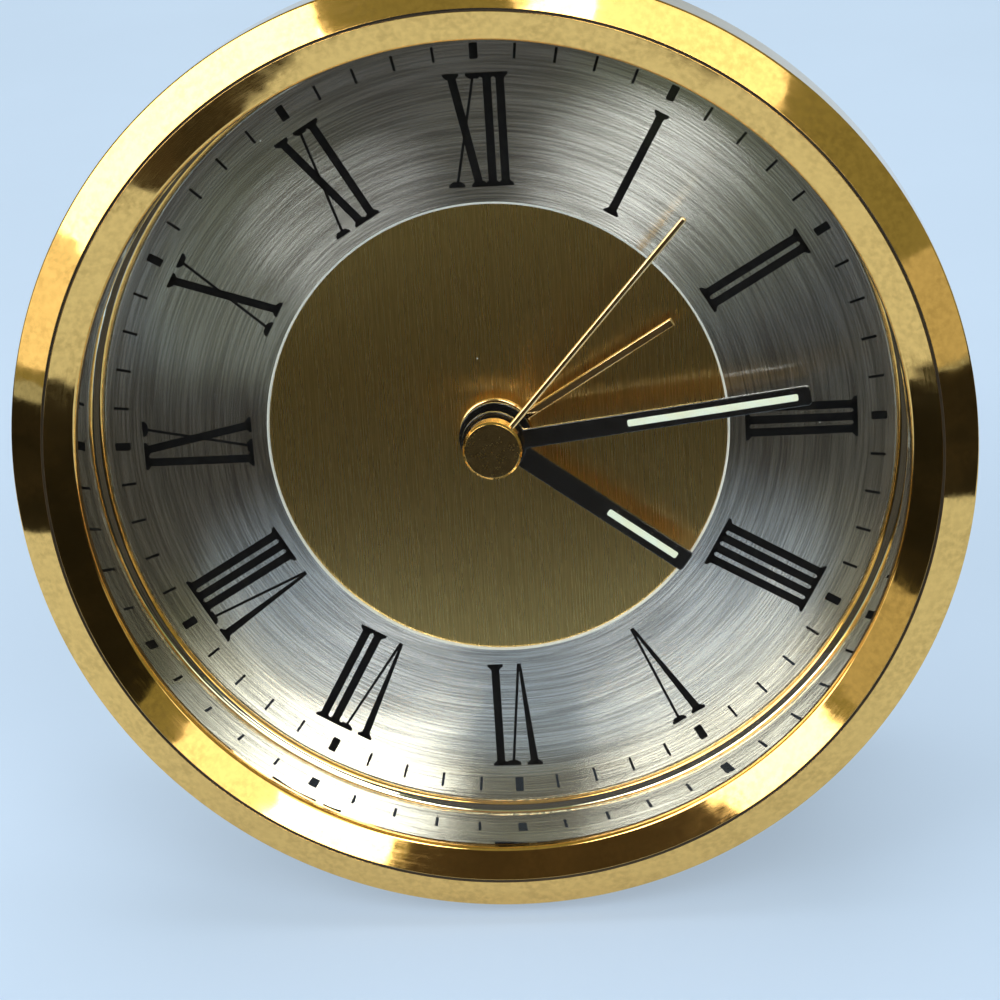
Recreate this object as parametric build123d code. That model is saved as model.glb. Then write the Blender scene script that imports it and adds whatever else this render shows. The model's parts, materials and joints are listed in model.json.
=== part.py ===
"""Round brass alarm clock for the desk: case, dial, four hands, quartz going train and fold-out strut."""
import math
import os

from build123d import *

# Lengths are millimetres and angles are degrees.
# Pieces are drawn in the clock's own frame: x to 3 o'clock, y to 12 o'clock, w out of the dial.
# The chapter ring's printed face is w = 0. Each finished piece is then leaned back onto the desk.
lean_angle = 10.0

# Fits
overrun = 1.0
running_gap = 0.08
seat_gap = 0.05
slide_gap = 0.1
layer_gap = 0.4

# Bezel
bezel_radius = 45.0
bezel_wall = 3.0
bezel_wall_back = 3.0
bezel_edge_height = 10.2
bezel_back_chamfer = 0.4
bezel_edge_round = 0.25
bevel_width = 3.3
crest_height = 12.0
groove_width = 0.36
groove_depth = 0.3
cone_width = 2.9
lip_height = 10.6
lip_thickness = 0.7
lip_round = 0.25

# Crystal and gasket
crystal_overlap = 1.4
crystal_thickness = 1.0
gasket_thickness = 0.4
gasket_inset = 0.3

# Dial
dial_gap = 0.2
dial_thickness = 0.8
dial_hole_radius = 2.9
chapter_inner_radius = 22.1
chapter_thickness = 0.4
chapter_chamfer = 0.15

# Reflector ring
reflector_foot_width = 2.3
reflector_foot_height = 0.5
reflector_wall_width = 1.85
reflector_top_width = 1.75
reflector_bead_share = 0.9

# Case drum
cup_wall = 1.35
ledge_thickness = 1.5
drum_clearance = 1.08
drum_wall = 1.5
drum_cove = 1.4
cove_share = 0.9
boss_radius = 2.6
boss_length = 8.0
boss_inset = 2.4
boss_angles = (50.0, 130.0, 270.0)

# Rear cover and screws
cover_thickness = 2.4
cover_edge_round = 0.8
spigot_thickness = 1.2
spigot_length = 1.2
screw_radius = 1.05
screw_length = 7.0
screw_head_radius = 1.9
screw_head_height = 1.1
screw_slot_width = 0.45
screw_slot_depth = 0.5
cover_post_radius = 1.5
cover_post_length = 1.5
post_side_inset = 3.0
post_rise = 2.1
post_top_inset = 2.5
grille_hole_radius = 0.7
grille_pitch = 2.4
grille_rings = 3

# Hands
alarm_hand_angle = 59.2
hour_hand_angle = 126.6
minute_hand_angle = 83.5
second_hand_angle = 41.9
alarm_hand_length = 20.2
alarm_hand_width = 0.82
alarm_hand_thickness = 0.35
alarm_hand_height = 1.2
alarm_hub_radius = 3.6
hour_hand_length = 22.1
hour_hand_width = 2.12
hour_hand_height = 2.3
hour_hub_radius = 3.5
minute_hand_length = 30.2
minute_hand_width = 1.88
minute_hand_height = 4.25
minute_hub_radius = 3.1
baton_thickness = 0.4
baton_corner_radius = 0.4
lume_end_share = 0.28
hour_lume_width = 0.71
hour_lume_shares = (0.585, 0.945)
minute_lume_width = 0.7
minute_lume_shares = (0.423, 0.96)
second_hand_length = 28.4
second_hand_width = 0.6
second_hand_thickness = 0.25
second_hand_height = 6.45
cap_radius = 2.8
cap_height = 2.0
cap_top = 7.3
cap_edge_round = 0.2
cap_dot_radius = 0.15
cap_dot_depth = 0.1
second_hand_root = 0.6
tube_overhang = 0.25

# Tubes on the dial's axis
second_arbor_radius = 0.5
sleeve_wall = 0.27
cannon_wall = 0.25
hour_tube_wall = 0.5
alarm_tube_wall = 0.6
bush_wall = 0.28
bush_height = 0.7

# Wheels
wheel_thickness = 0.9
wheel_addendum_share = 0.65
wheel_dedendum_share = 1.15
wheel_root_share = 0.25
pinion_addendum_share = 0.8
pinion_dedendum_share = 1.0
pinion_root_share = 0.22
tooth_tip_share = 0.1
arbor_radius = 0.5
post_radius = 0.7
stud_radius = 0.4
second_module = 0.22
third_module = 0.2
motion_module = 0.4
alarm_module = 0.35
rotor_teeth = 8
intermediate_teeth = 48
intermediate_pinion_teeth = 10
second_teeth = 50
second_pinion_teeth = 8
third_teeth = 64
third_pinion_teeth = 8
minute_teeth = 60
cannon_teeth = 12
motion_teeth = 36
motion_pinion_teeth = 10
hour_teeth = 40
time_pinion_teeth = 12
alarm_teeth = 48
alarm_pinion_teeth = 12
intermediate_bearing = 170.0
rotor_bearing = 180.0
third_bearing = 0.0
motion_bearing = 150.0
time_bearing = 120.0
alarm_bearing = 50.0

# Movement plates and case
front_plate_thickness = 1.4
plate_thickness = 1.0
plate_bottom = -6.6
plate_side_gap = 0.4
plate_top_gap = 0.5
plate_bottom_gap = 0.75
pillar_radius = 1.1
pillar_inset = 1.7
movement_top_room = 1.73
movement_wall = 1.0
movement_corner_radius = 2.5
bay_wall = 0.8
bay_floor = 1.25
board_room = 4.2

# Electrics
battery_radius = 7.25
battery_length = 50.5
battery_w = -12.0
battery_nub_radius = 2.75
battery_nub_length = 1.2
contact_thickness = 0.4
contact_half_size = 4.5
contact_gap = 1.35
board_thickness = 1.0
board_standoff = 0.8
chip_size = 6.0
chip_height = 1.2
chip_x = 14.0
chip_y = 6.0
can_radius = 1.0
can_length = 6.2
can_x = -6.0
can_y = 9.5
magnet_radius = 2.0
magnet_length = 2.0
magnet_air_gap = 0.35
stator_thickness = 0.8
stator_half_height = 6.3
stator_pole_reach = 4.2
stator_arm = 2.0
core_offset = 7.84
core_half_width = 1.0
bobbin_half_width = 3.0
bobbin_half_depth = 1.9
bobbin_flange = 0.6
bobbin_wall = 0.4
winding_inset = 0.4
buzzer_radius = 8.0
buzzer_thickness = 0.6
buzzer_x = 18.5
buzzer_y = 8.0

# Setting shafts and knobs
setting_shaft_radius = 1.2
setting_pivot_radius = 0.6
knob_radius = 4.2
knob_length = 3.4
knob_standoff = 0.5
knob_flutes = 16
knob_flute_radius = 0.55
knob_edge_round = 0.5

# Alarm switch
switch_rise = 7.5
switch_travel = 5.0
switch_tab_width = 4.6
switch_tab_height = 2.8
switch_tab_reach = 1.5
switch_base_width = 13.0
switch_base_height = 5.0
switch_base_thickness = 0.8
switch_rail_width = 1.2
switch_rail_lip = 0.6
switch_ridge_width = 0.5

# Battery door
door_overlap = 0.95
door_flange = 0.8
door_flange_thickness = 0.7
door_panel_thickness = 1.1
door_rib_width = 0.8
door_rib_height = 0.4
door_rib_pitch = 1.8
door_ribs = 5
door_rib_inset = 8.0

# Strut
hinge_y = -3.0
hinge_drop = 2.2
pin_radius = 0.8
pin_head_radius = 1.3
pin_head_length = 0.5
ear_radius = 2.0
ear_thickness = 2.0
knuckle_half_length = 7.0
knuckle_radius = 1.7
strut_open_angle = 28.0
strut_thickness = 1.4
strut_standoff = 0.6
strut_heel = 1.4
strut_neck = 3.4
strut_shoulder = 3.0
strut_shoulder_half_width = 9.5
strut_foot_half_width = 16.5
strut_corner_radius = 2.5
strut_window_inset = 4.0
pad_thickness = 1.2
pad_wrap = 0.45
pad_height = 3.0

# Levels along w, from the crystal back to the knobs
crystal_front = lip_height - lip_thickness
crystal_back = crystal_front - crystal_thickness
gasket_back = crystal_back - gasket_thickness
dial_top = -chapter_thickness
dial_back = dial_top - dial_thickness
ledge_back = dial_back - ledge_thickness
plate_back = dial_back - front_plate_thickness
wheel_step = wheel_thickness + layer_gap
alarm_layer = plate_back - wheel_step
hour_layer = alarm_layer - wheel_step
motion_layer = hour_layer - wheel_step
middle_plate_front = motion_layer - layer_gap
middle_plate_back = middle_plate_front - plate_thickness
minute_layer = middle_plate_back - wheel_step
third_layer = minute_layer - wheel_step
second_layer = third_layer - wheel_step
rotor_layer = second_layer - wheel_step
bridge_front = rotor_layer - layer_gap
bridge_back = bridge_front - plate_thickness
board_front = bridge_back - board_standoff
board_back = board_front - board_thickness
movement_back = board_back - board_room
drum_back = movement_back - cover_post_length
cover_front = drum_back
cover_back = cover_front - cover_thickness
knob_front = cover_back - knob_standoff
knob_back = knob_front - knob_length

# Radii of the tubes on the dial's axis, from the second arbor out
sleeve_inner = second_arbor_radius + running_gap
sleeve_outer = sleeve_inner + sleeve_wall
cannon_outer = sleeve_outer + seat_gap + cannon_wall
hour_inner = cannon_outer + running_gap
hour_outer = hour_inner + hour_tube_wall
alarm_inner = hour_outer + running_gap
alarm_outer = alarm_inner + alarm_tube_wall
bush_inner = alarm_outer + running_gap
bush_outer = bush_inner + bush_wall

# Radii of the front, from the bezel in
crest_radius = bezel_radius - bevel_width
lip_radius = crest_radius - cone_width
crystal_radius = lip_radius + crystal_overlap
bezel_bore_radius = bezel_radius - bezel_wall
cup_outer_radius = bezel_bore_radius - seat_gap
cup_inner_radius = cup_outer_radius - cup_wall
dial_radius = cup_inner_radius - dial_gap
reflector_outer_radius = cup_inner_radius - seat_gap
reflector_foot_radius = reflector_outer_radius - reflector_foot_width
reflector_wall_radius = reflector_outer_radius - reflector_wall_width
reflector_top_radius = reflector_outer_radius - reflector_top_width
chapter_outer_radius = reflector_foot_radius - seat_gap


def polar(radius, angle, origin=(0.0, 0.0)):
    """Point at a radius and an angle from an origin."""
    turn = math.radians(angle)
    return (origin[0] + radius * math.cos(turn), origin[1] + radius * math.sin(turn))


def centre_distance(module, teeth, other_teeth):
    return module * (teeth + other_teeth) / 2


# Arbor places
train_centre = (0.0, 0.0)
intermediate_reach = centre_distance(second_module, intermediate_pinion_teeth, second_teeth)
rotor_reach = centre_distance(second_module, rotor_teeth, intermediate_teeth)
third_reach = centre_distance(third_module, second_pinion_teeth, third_teeth)
motion_reach = centre_distance(motion_module, cannon_teeth, motion_teeth)
minute_module = third_reach * 2 / (third_pinion_teeth + minute_teeth)
hour_module = motion_reach * 2 / (motion_pinion_teeth + hour_teeth)
intermediate_at = polar(intermediate_reach, intermediate_bearing)
rotor_at = polar(rotor_reach, rotor_bearing, intermediate_at)
third_at = polar(third_reach, third_bearing)
motion_at = polar(motion_reach, motion_bearing)
time_at = polar(centre_distance(motion_module, time_pinion_teeth, motion_teeth), time_bearing, motion_at)
alarm_at = polar(centre_distance(alarm_module, alarm_pinion_teeth, alarm_teeth), alarm_bearing)

# Motor places, about the rotor
stator_bottom = rotor_at[1] - stator_half_height
stator_top = rotor_at[1] + stator_half_height
stator_right = rotor_at[0] + stator_pole_reach
stator_pole_left = rotor_at[0] - stator_pole_reach
core_x = rotor_at[0] - core_offset
core_left = core_x - core_half_width

# Movement box: wide enough for the cell's bay and for the train, tall enough for the setting wheel
bay_half = battery_length / 2 + contact_gap + contact_thickness
train_half = slide_gap + pillar_radius + pillar_inset + plate_side_gap - core_left
movement_half_width = max(bay_half, train_half) + movement_wall
time_pinion_top = time_at[1] + motion_module * (time_pinion_teeth / 2 + pinion_addendum_share)
movement_top = time_pinion_top + movement_top_room + movement_wall
plate_half_width = movement_half_width - movement_wall - plate_side_gap
plate_top = movement_top - movement_wall - plate_top_gap
battery_y = plate_bottom - plate_bottom_gap - bay_wall - slide_gap - battery_radius
movement_bottom = battery_y - battery_radius - slide_gap - bay_floor
plate_pillars = [
    (side * (plate_half_width - pillar_inset), height)
    for side in (-1, 1)
    for height in (plate_bottom + pillar_inset, plate_top - pillar_inset)
]

# Drum and rear cover, round the movement's furthest corner
corner_x = movement_half_width - movement_corner_radius
corner_y = max(movement_top, -movement_bottom) - movement_corner_radius
movement_reach = math.hypot(corner_x, corner_y) + movement_corner_radius
drum_inner_radius = movement_reach + drum_clearance
drum_radius = drum_inner_radius + drum_wall
boss_places = [polar(drum_inner_radius - boss_inset, angle) for angle in boss_angles]
post_x = movement_half_width - post_side_inset
cover_posts = (
    (-post_x, plate_bottom + post_rise),
    (post_x, plate_bottom + post_rise),
    (0.0, movement_top - post_top_inset),
)
switch_y = movement_top + switch_rise
door_left = -bay_half
door_half_height = battery_radius + slide_gap + door_overlap

# Resting height: the lowest point of the leaned bezel is its rear outer corner
lean_sin = math.sin(math.radians(lean_angle))
lean_cos = math.cos(math.radians(lean_angle))
bezel_corner_w = bezel_wall_back + bezel_back_chamfer
axis_height = bezel_radius * lean_cos - bezel_corner_w * lean_sin
hinge_w = cover_back - hinge_drop
hinge_height = axis_height + hinge_y * lean_cos + hinge_w * lean_sin
strut_tilt = strut_open_angle - lean_angle
strut_reach = hinge_height / math.cos(math.radians(strut_tilt))
strut_length = strut_reach - pad_thickness


def disc(radius, back, front, at=(0.0, 0.0)):
    """Upright cylinder between two levels."""
    return Pos(at[0], at[1], (back + front) / 2) * Cylinder(radius, front - back)


def tube(inner, outer, back, front, at=(0.0, 0.0)):
    return disc(outer, back, front, at) - disc(inner, back - overrun, front + overrun, at)


def slab(left, right, bottom, top, back, front):
    centre = Pos((left + right) / 2, (bottom + top) / 2, (back + front) / 2)
    return centre * Box(right - left, top - bottom, front - back)


def prism(points, back, front):
    """Straight-sided solid over a closed outline."""
    return Pos(0, 0, back) * extrude(make_face(Polyline(*points, close=True)), front - back)


def turned(points, rounds=()):
    """Solid of revolution from a profile of radius and level, with some of its corners rounded."""
    profile = make_face(Polyline(*points, close=True))
    for corner, radius in rounds:
        profile = fillet(profile.vertices().sort_by_distance((corner[0], corner[1], 0))[0], radius)
    return revolve(Rot(90, 0, 0) * profile, Axis.Z)


def drilled(shape, places, radius, back, front):
    """Shape with a round hole at each place."""
    for at in places:
        shape = shape - disc(radius, back - overrun, front + overrun, at)
    return shape


def gear(teeth, module, phase, back, front, at=(0.0, 0.0), pinion=False):
    """Toothed disc with straight-flanked teeth; phase is the angle of one tooth's middle."""
    addendum = module * (pinion_addendum_share if pinion else wheel_addendum_share)
    dedendum = module * (pinion_dedendum_share if pinion else wheel_dedendum_share)
    root_share = pinion_root_share if pinion else wheel_root_share
    pitch_radius = teeth * module / 2
    step = 360.0 / teeth
    points = []
    for tooth in range(teeth):
        middle = phase + tooth * step
        points.append(polar(pitch_radius - dedendum, middle - root_share * step, at))
        points.append(polar(pitch_radius + addendum, middle - tooth_tip_share * step, at))
        points.append(polar(pitch_radius + addendum, middle + tooth_tip_share * step, at))
        points.append(polar(pitch_radius - dedendum, middle + root_share * step, at))
    return prism(points, back, front)


def tip_radius(teeth, module):
    return module * (teeth / 2 + wheel_addendum_share)


def mesh_phase(at, phase, teeth, other_at, other_teeth):
    """Phase of a second gear whose tooth spaces take the first gear's teeth."""
    bearing = math.degrees(math.atan2(other_at[1] - at[1], other_at[0] - at[0]))
    step = 360.0 / teeth
    other_step = 360.0 / other_teeth
    part = ((bearing - phase) / step) % 1.0
    return bearing + 180.0 - (0.5 - part) * other_step


# Tooth phases, worked along the train from the second wheel, the cannon pinion and the alarm wheel
intermediate_phase = mesh_phase(train_centre, 0.0, second_teeth, intermediate_at, intermediate_pinion_teeth)
rotor_phase = mesh_phase(intermediate_at, 0.0, intermediate_teeth, rotor_at, rotor_teeth)
third_phase = mesh_phase(train_centre, 0.0, second_pinion_teeth, third_at, third_teeth)
minute_phase = mesh_phase(third_at, 0.0, third_pinion_teeth, train_centre, minute_teeth)
motion_phase = mesh_phase(train_centre, 0.0, cannon_teeth, motion_at, motion_teeth)
hour_phase = mesh_phase(motion_at, 0.0, motion_pinion_teeth, train_centre, hour_teeth)
time_phase = mesh_phase(motion_at, motion_phase, motion_teeth, time_at, time_pinion_teeth)
alarm_phase = mesh_phase(train_centre, 0.0, alarm_teeth, alarm_at, alarm_pinion_teeth)


def make_bezel():
    """Roof-shaped ring: outer wall, bevel up to the grooved crest, cone down to the rolled lip."""
    half_groove = groove_width / 2
    points = [
        (bezel_bore_radius, bezel_wall_back),
        (bezel_radius - bezel_back_chamfer, bezel_wall_back),
        (bezel_radius, bezel_corner_w),
        (bezel_radius, bezel_edge_height),
        (crest_radius + half_groove, crest_height),
        (crest_radius, crest_height - groove_depth),
        (crest_radius - half_groove, crest_height),
        (lip_radius, lip_height),
        (lip_radius, crystal_front),
        (crystal_radius + seat_gap, crystal_front),
        (crystal_radius + seat_gap, gasket_back),
        (bezel_bore_radius, gasket_back),
    ]
    rounds = [
        ((bezel_radius, bezel_edge_height), bezel_edge_round),
        ((lip_radius, lip_height), lip_round),
    ]
    return turned(points, rounds)


def make_gasket():
    return tube(lip_radius + gasket_inset, crystal_radius, gasket_back, crystal_back)


def make_reflector():
    """Polished wall between dial and glass, with a rounded foot standing on the dial."""
    outer = reflector_outer_radius
    points = [
        (reflector_foot_radius, dial_top),
        (reflector_foot_radius, reflector_foot_height),
        (reflector_wall_radius, reflector_foot_height),
        (reflector_top_radius, gasket_back),
        (outer, gasket_back),
        (outer, dial_top),
    ]
    bead = (reflector_wall_radius - reflector_foot_radius) * reflector_bead_share
    return turned(points, [((reflector_foot_radius, reflector_foot_height), bead)])


def make_dial_plate():
    return tube(dial_hole_radius, dial_radius, dial_back, dial_top)


def make_chapter_ring():
    points = [
        (chapter_inner_radius, dial_top),
        (chapter_inner_radius, -chapter_chamfer),
        (chapter_inner_radius + chapter_chamfer, 0),
        (chapter_outer_radius - chapter_chamfer, 0),
        (chapter_outer_radius, -chapter_chamfer),
        (chapter_outer_radius, dial_top),
    ]
    return turned(points)


def movement_blank(gap, back, front):
    """Block over the movement's round-cornered outline, with a gap all round."""
    half = movement_half_width + gap
    blank = slab(-half, half, movement_bottom - gap, movement_top + gap, back, front)
    return fillet(blank.edges().filter_by(Axis.Z), movement_corner_radius + gap)


def make_case_drum():
    """Front cup with a floor behind the dial, a window for the movement, and the drum with its bosses."""
    shoulder = ledge_back if drum_radius < cup_outer_radius else dial_back
    points = [
        (cup_inner_radius, gasket_back),
        (cup_outer_radius, gasket_back),
        (cup_outer_radius, shoulder),
        (drum_radius, shoulder),
        (drum_radius, drum_back),
        (drum_inner_radius, drum_back),
        (drum_inner_radius, ledge_back),
        (0, ledge_back),
        (0, dial_back),
        (cup_inner_radius, dial_back),
    ]
    cove = min(drum_cove, abs(cup_outer_radius - drum_radius) * cove_share)
    drum = turned(points, [((drum_radius, shoulder), cove)])
    drum = drum - movement_blank(slide_gap, ledge_back - overrun, dial_back + overrun)
    for at in boss_places:
        drum = drum + disc(boss_radius, drum_back, drum_back + boss_length, at)
    return drilled(drum, boss_places, screw_radius + seat_gap, drum_back, drum_back + screw_length)


def switch_slot_half():
    return (switch_tab_width + switch_travel) / 2 + slide_gap


def door_outline(half_height, flange):
    """Door blank between its left end and the cover's round edge."""
    bottom = battery_y - half_height
    blank = slab(door_left, drum_radius + overrun, bottom, battery_y + half_height, 0, flange)
    return blank & disc(drum_radius, -overrun, flange + overrun)


def make_rear_cover():
    """Moulded back: spigot, posts onto the movement, sounder grille, door slot, switch rails and ears."""
    edge = (drum_radius, cover_back)
    profile = [(0, cover_back), edge, (drum_radius, cover_front), (0, cover_front)]
    cover = turned(profile, [(edge, cover_edge_round)])
    spigot_outer = drum_inner_radius - seat_gap
    spigot_inner = spigot_outer - spigot_thickness
    cover = cover + tube(spigot_inner, spigot_outer, cover_front, cover_front + spigot_length)
    for at in boss_places:
        cover = cover - disc(boss_radius + slide_gap, cover_front, cover_front + spigot_length + overrun, at)
        cover = cover - disc(screw_radius + seat_gap, cover_back - overrun, cover_front + overrun, at)
        recess_front = cover_back + screw_head_height
        cover = cover - disc(screw_head_radius + seat_gap, cover_back - overrun, recess_front, at)
    for at in cover_posts:
        cover = cover + disc(cover_post_radius, cover_front, movement_back, at)
    cover = drilled(cover, (time_at, alarm_at), setting_shaft_radius + running_gap, cover_back, cover_front)
    for ring in range(1, grille_rings + 1):
        holes = [
            polar(grille_pitch * (ring - 1), turn * 360.0 / max(1, 6 * (ring - 1)), (buzzer_x, buzzer_y))
            for turn in range(max(1, 6 * (ring - 1)))
        ]
        cover = drilled(cover, holes, grille_hole_radius, cover_back, cover_front)
    return cut_door_slot(add_switch_rails(cover)) + hinge_ears()


def cut_door_slot(cover):
    """Slot open at the cover's right edge, with grooves for the door's flanges and the battery's way in."""
    groove_back = cover_back + door_panel_thickness - slide_gap
    groove_front = groove_back + door_flange_thickness + slide_gap * 2
    half_panel = door_half_height + slide_gap
    half_groove = half_panel + door_flange
    left = door_left - slide_gap
    right = drum_radius + overrun
    half_bay = battery_radius + slide_gap
    half_length = battery_length / 2 + slide_gap
    for start, end, half, back, front in (
        (left, right, half_panel, cover_back - overrun, groove_front),
        (left, right, half_groove, groove_back, groove_front),
        (-half_length, half_length, half_bay, groove_back, cover_front + overrun),
    ):
        cover = cover - slab(start, end, battery_y - half, battery_y + half, back, front)
    return cover


def add_switch_rails(cover):
    """Slot for the switch tab and the two lipped rails that hold its base."""
    slot = switch_slot_half()
    half_tab = switch_tab_height / 2 + slide_gap
    bottom = switch_y - half_tab
    top = switch_y + half_tab
    cover = cover - slab(-slot, slot, bottom, top, cover_back - overrun, cover_front + overrun)
    base_front = cover_front + slide_gap * 2 + switch_base_thickness
    rail_half = (switch_base_width + switch_travel) / 2
    half_base = switch_base_height / 2
    for side in (-1, 1):
        inner = switch_y + side * (half_base + slide_gap)
        rail = sorted((inner, inner + side * switch_rail_width))
        lip = sorted((inner - side * switch_rail_lip, inner + side * switch_rail_width))
        rail_front = base_front + switch_rail_lip
        cover = cover + slab(-rail_half, rail_half, rail[0], rail[1], cover_front, rail_front)
        cover = cover + slab(-rail_half, rail_half, lip[0], lip[1], base_front, rail_front)
    return cover


def along_x(radius, left, right):
    """Cylinder on the hinge axis."""
    return Pos((left + right) / 2, hinge_y, hinge_w) * Rot(0, 90, 0) * Cylinder(radius, right - left)


def ear_spans():
    inner = knuckle_half_length + slide_gap * 2
    outer = inner + ear_thickness
    return ((-outer, -inner), (inner, outer))


def hinge_ears():
    ears = []
    for left, right in ear_spans():
        ear = along_x(ear_radius, left, right)
        ear = ear + slab(left, right, hinge_y - ear_radius, hinge_y + ear_radius, hinge_w, cover_back)
        ears.append(ear - along_x(pin_radius + seat_gap, left - overrun, right + overrun))
    return ears


def make_hinge_pin():
    left, right = ear_spans()[0][0], ear_spans()[1][1]
    pin = along_x(pin_radius, left, right)
    for start, end in ((left - pin_head_length, left), (right, right + pin_head_length)):
        pin = pin + along_x(pin_head_radius, start, end)
    return pin


def make_cover_screws():
    """Slotted pan-head screws, one for each boss."""
    screws = []
    for at in boss_places:
        head_front = cover_back + screw_head_height
        screw = disc(screw_head_radius, cover_back, head_front, at)
        screw = screw + disc(screw_radius, head_front, cover_front + screw_length - overrun, at)
        half_slot = screw_slot_width / 2
        reach = screw_head_radius + overrun
        screw = screw - slab(at[0] - reach, at[0] + reach, at[1] - half_slot, at[1] + half_slot,
                             cover_back - overrun, cover_back + screw_slot_depth)
        screws.append(screw)
    return Compound(children=screws)


def plate_blank(back, front):
    return slab(-plate_half_width, plate_half_width, plate_bottom, plate_top, back, front)


def make_front_plate():
    """Plate behind the dial, with the threaded bush that the hands' tubes turn in."""
    plate = movement_blank(0, plate_back, dial_back)
    plate = plate + disc(bush_outer, plate_back, bush_height)
    plate = plate - disc(bush_inner, plate_back - overrun, bush_height + overrun)
    return drilled(plate, (time_at, alarm_at), setting_pivot_radius + running_gap, plate_back, dial_back)


def make_middle_plate():
    """Plate between hand work and going train, on pillars, with the motion wheel's post."""
    back = middle_plate_back
    front = middle_plate_front
    plate = plate_blank(back, front)
    for at in plate_pillars:
        plate = plate + disc(pillar_radius, front, plate_back, at)
        plate = plate + disc(pillar_radius, bridge_front, back, at)
    plate = plate + disc(post_radius, front, hour_layer + wheel_step, motion_at)
    plate = drilled(plate, (train_centre,), sleeve_outer + running_gap, back, front)
    plate = drilled(plate, (third_at, rotor_at), arbor_radius + running_gap, back, front)
    return drilled(plate, (time_at, alarm_at), setting_shaft_radius + running_gap, back, front)


def make_bridge_plate():
    """Rear plate of the train, with the stud that the intermediate wheel turns on."""
    plate = plate_blank(bridge_back, bridge_front)
    plate = plate + disc(stud_radius, bridge_front, second_layer + wheel_thickness, intermediate_at)
    for at in plate_pillars:
        plate = plate + disc(pillar_radius, board_front, bridge_back, at)
    pivots = (train_centre, third_at, rotor_at)
    plate = drilled(plate, pivots, arbor_radius + running_gap, bridge_back, bridge_front)
    return drilled(plate, (time_at, alarm_at), setting_shaft_radius + running_gap, bridge_back, bridge_front)


def make_movement_case():
    """Moulded box over the train, with the battery bay open at the back."""
    box = movement_blank(0, movement_back, plate_back)
    inner_half = movement_half_width - movement_wall
    floor = movement_back + movement_wall
    top = movement_top - movement_wall
    bay_top = battery_y + battery_radius + slide_gap
    bay_bottom = battery_y - battery_radius - slide_gap
    box = box - slab(-inner_half, inner_half, bay_top + bay_wall, top, floor, plate_back + overrun)
    wheel_bottom = -tip_radius(alarm_teeth, alarm_module) - layer_gap
    box = box - slab(-inner_half, inner_half, wheel_bottom, top, middle_plate_front, plate_back + overrun)
    box = box - slab(-bay_half, bay_half, bay_bottom, bay_top, movement_back - overrun, plate_back + overrun)
    return drilled(box, (time_at, alarm_at), setting_shaft_radius + running_gap, movement_back, floor)


def make_circuit_board():
    board = plate_blank(board_back, board_front)
    return drilled(board, (time_at, alarm_at), setting_shaft_radius + slide_gap, board_back, board_front)


def make_chip():
    half = chip_size / 2
    back = board_back - chip_height
    return slab(chip_x - half, chip_x + half, chip_y - half, chip_y + half, back, board_back)


def make_quartz_can():
    """Round crystal can lying on the board."""
    can = Rot(0, 90, 0) * Cylinder(can_radius, can_length)
    return Pos(can_x, can_y, board_back - can_radius) * can


def magnet_middle():
    return (middle_plate_back + second_layer) / 2


def make_stator():
    """Soft-iron yoke: pole plate round the rotor, two arms and the coil's core."""
    back = magnet_middle() - stator_thickness / 2
    front = back + stator_thickness
    pole = slab(stator_pole_left, stator_right, stator_bottom, stator_top, back, front)
    pole = pole + slab(core_left, stator_pole_left, stator_bottom, stator_bottom + stator_arm, back, front)
    pole = pole + slab(core_left, stator_pole_left, stator_top - stator_arm, stator_top, back, front)
    pole = pole + slab(core_left, core_x + core_half_width, stator_bottom, stator_top, back, front)
    return pole - disc(magnet_radius + magnet_air_gap, back - overrun, front + overrun, rotor_at)


def coil_block(half_width, half_depth, bottom, top):
    back = magnet_middle() - half_depth
    front = magnet_middle() + half_depth
    return slab(core_x - half_width, core_x + half_width, bottom, top, back, front)


def make_coil_bobbin():
    bottom = stator_bottom + stator_arm + seat_gap
    top = stator_top - stator_arm - seat_gap
    hole_half = core_half_width + seat_gap
    hole_depth = stator_thickness / 2 + seat_gap
    bobbin = coil_block(hole_half + bobbin_wall, hole_depth + bobbin_wall, bottom, top)
    bobbin = bobbin + coil_block(bobbin_half_width, bobbin_half_depth, bottom, bottom + bobbin_flange)
    bobbin = bobbin + coil_block(bobbin_half_width, bobbin_half_depth, top - bobbin_flange, top)
    return bobbin - coil_block(hole_half, hole_depth, bottom - overrun, top + overrun)


def make_coil_winding():
    bottom = stator_bottom + stator_arm + seat_gap + bobbin_flange
    top = stator_top - stator_arm - seat_gap - bobbin_flange
    half_width = bobbin_half_width - winding_inset
    winding = coil_block(half_width, bobbin_half_depth - winding_inset, bottom, top)
    winding = fillet(winding.edges().filter_by(Axis.Y), winding_inset)
    hole_half = core_half_width + seat_gap + bobbin_wall
    hole_depth = stator_thickness / 2 + seat_gap + bobbin_wall
    return winding - coil_block(hole_half, hole_depth, bottom - overrun, top + overrun)


def make_buzzer():
    return disc(buzzer_radius, cover_front, cover_front + buzzer_thickness, (buzzer_x, buzzer_y))


def battery_axis(radius, left, right):
    return Pos((left + right) / 2, battery_y, battery_w) * Rot(0, 90, 0) * Cylinder(radius, right - left)


def make_battery():
    half = battery_length / 2
    body = battery_axis(battery_radius, -half, half - battery_nub_length)
    return body + battery_axis(battery_nub_radius, -half, half)


def make_contact(side):
    """Pressed contact: a plate on the bay's end wall with a boss that meets the cell."""
    near = battery_length / 2
    seat = near + contact_gap
    spans = sorted((side * seat, side * (seat + contact_thickness)))
    size = contact_half_size
    plate = slab(spans[0], spans[1], battery_y - size, battery_y + size, battery_w - size, battery_w + size)
    boss = sorted((side * near, side * seat))
    return plate + battery_axis(battery_nub_radius, boss[0], boss[1])


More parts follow.
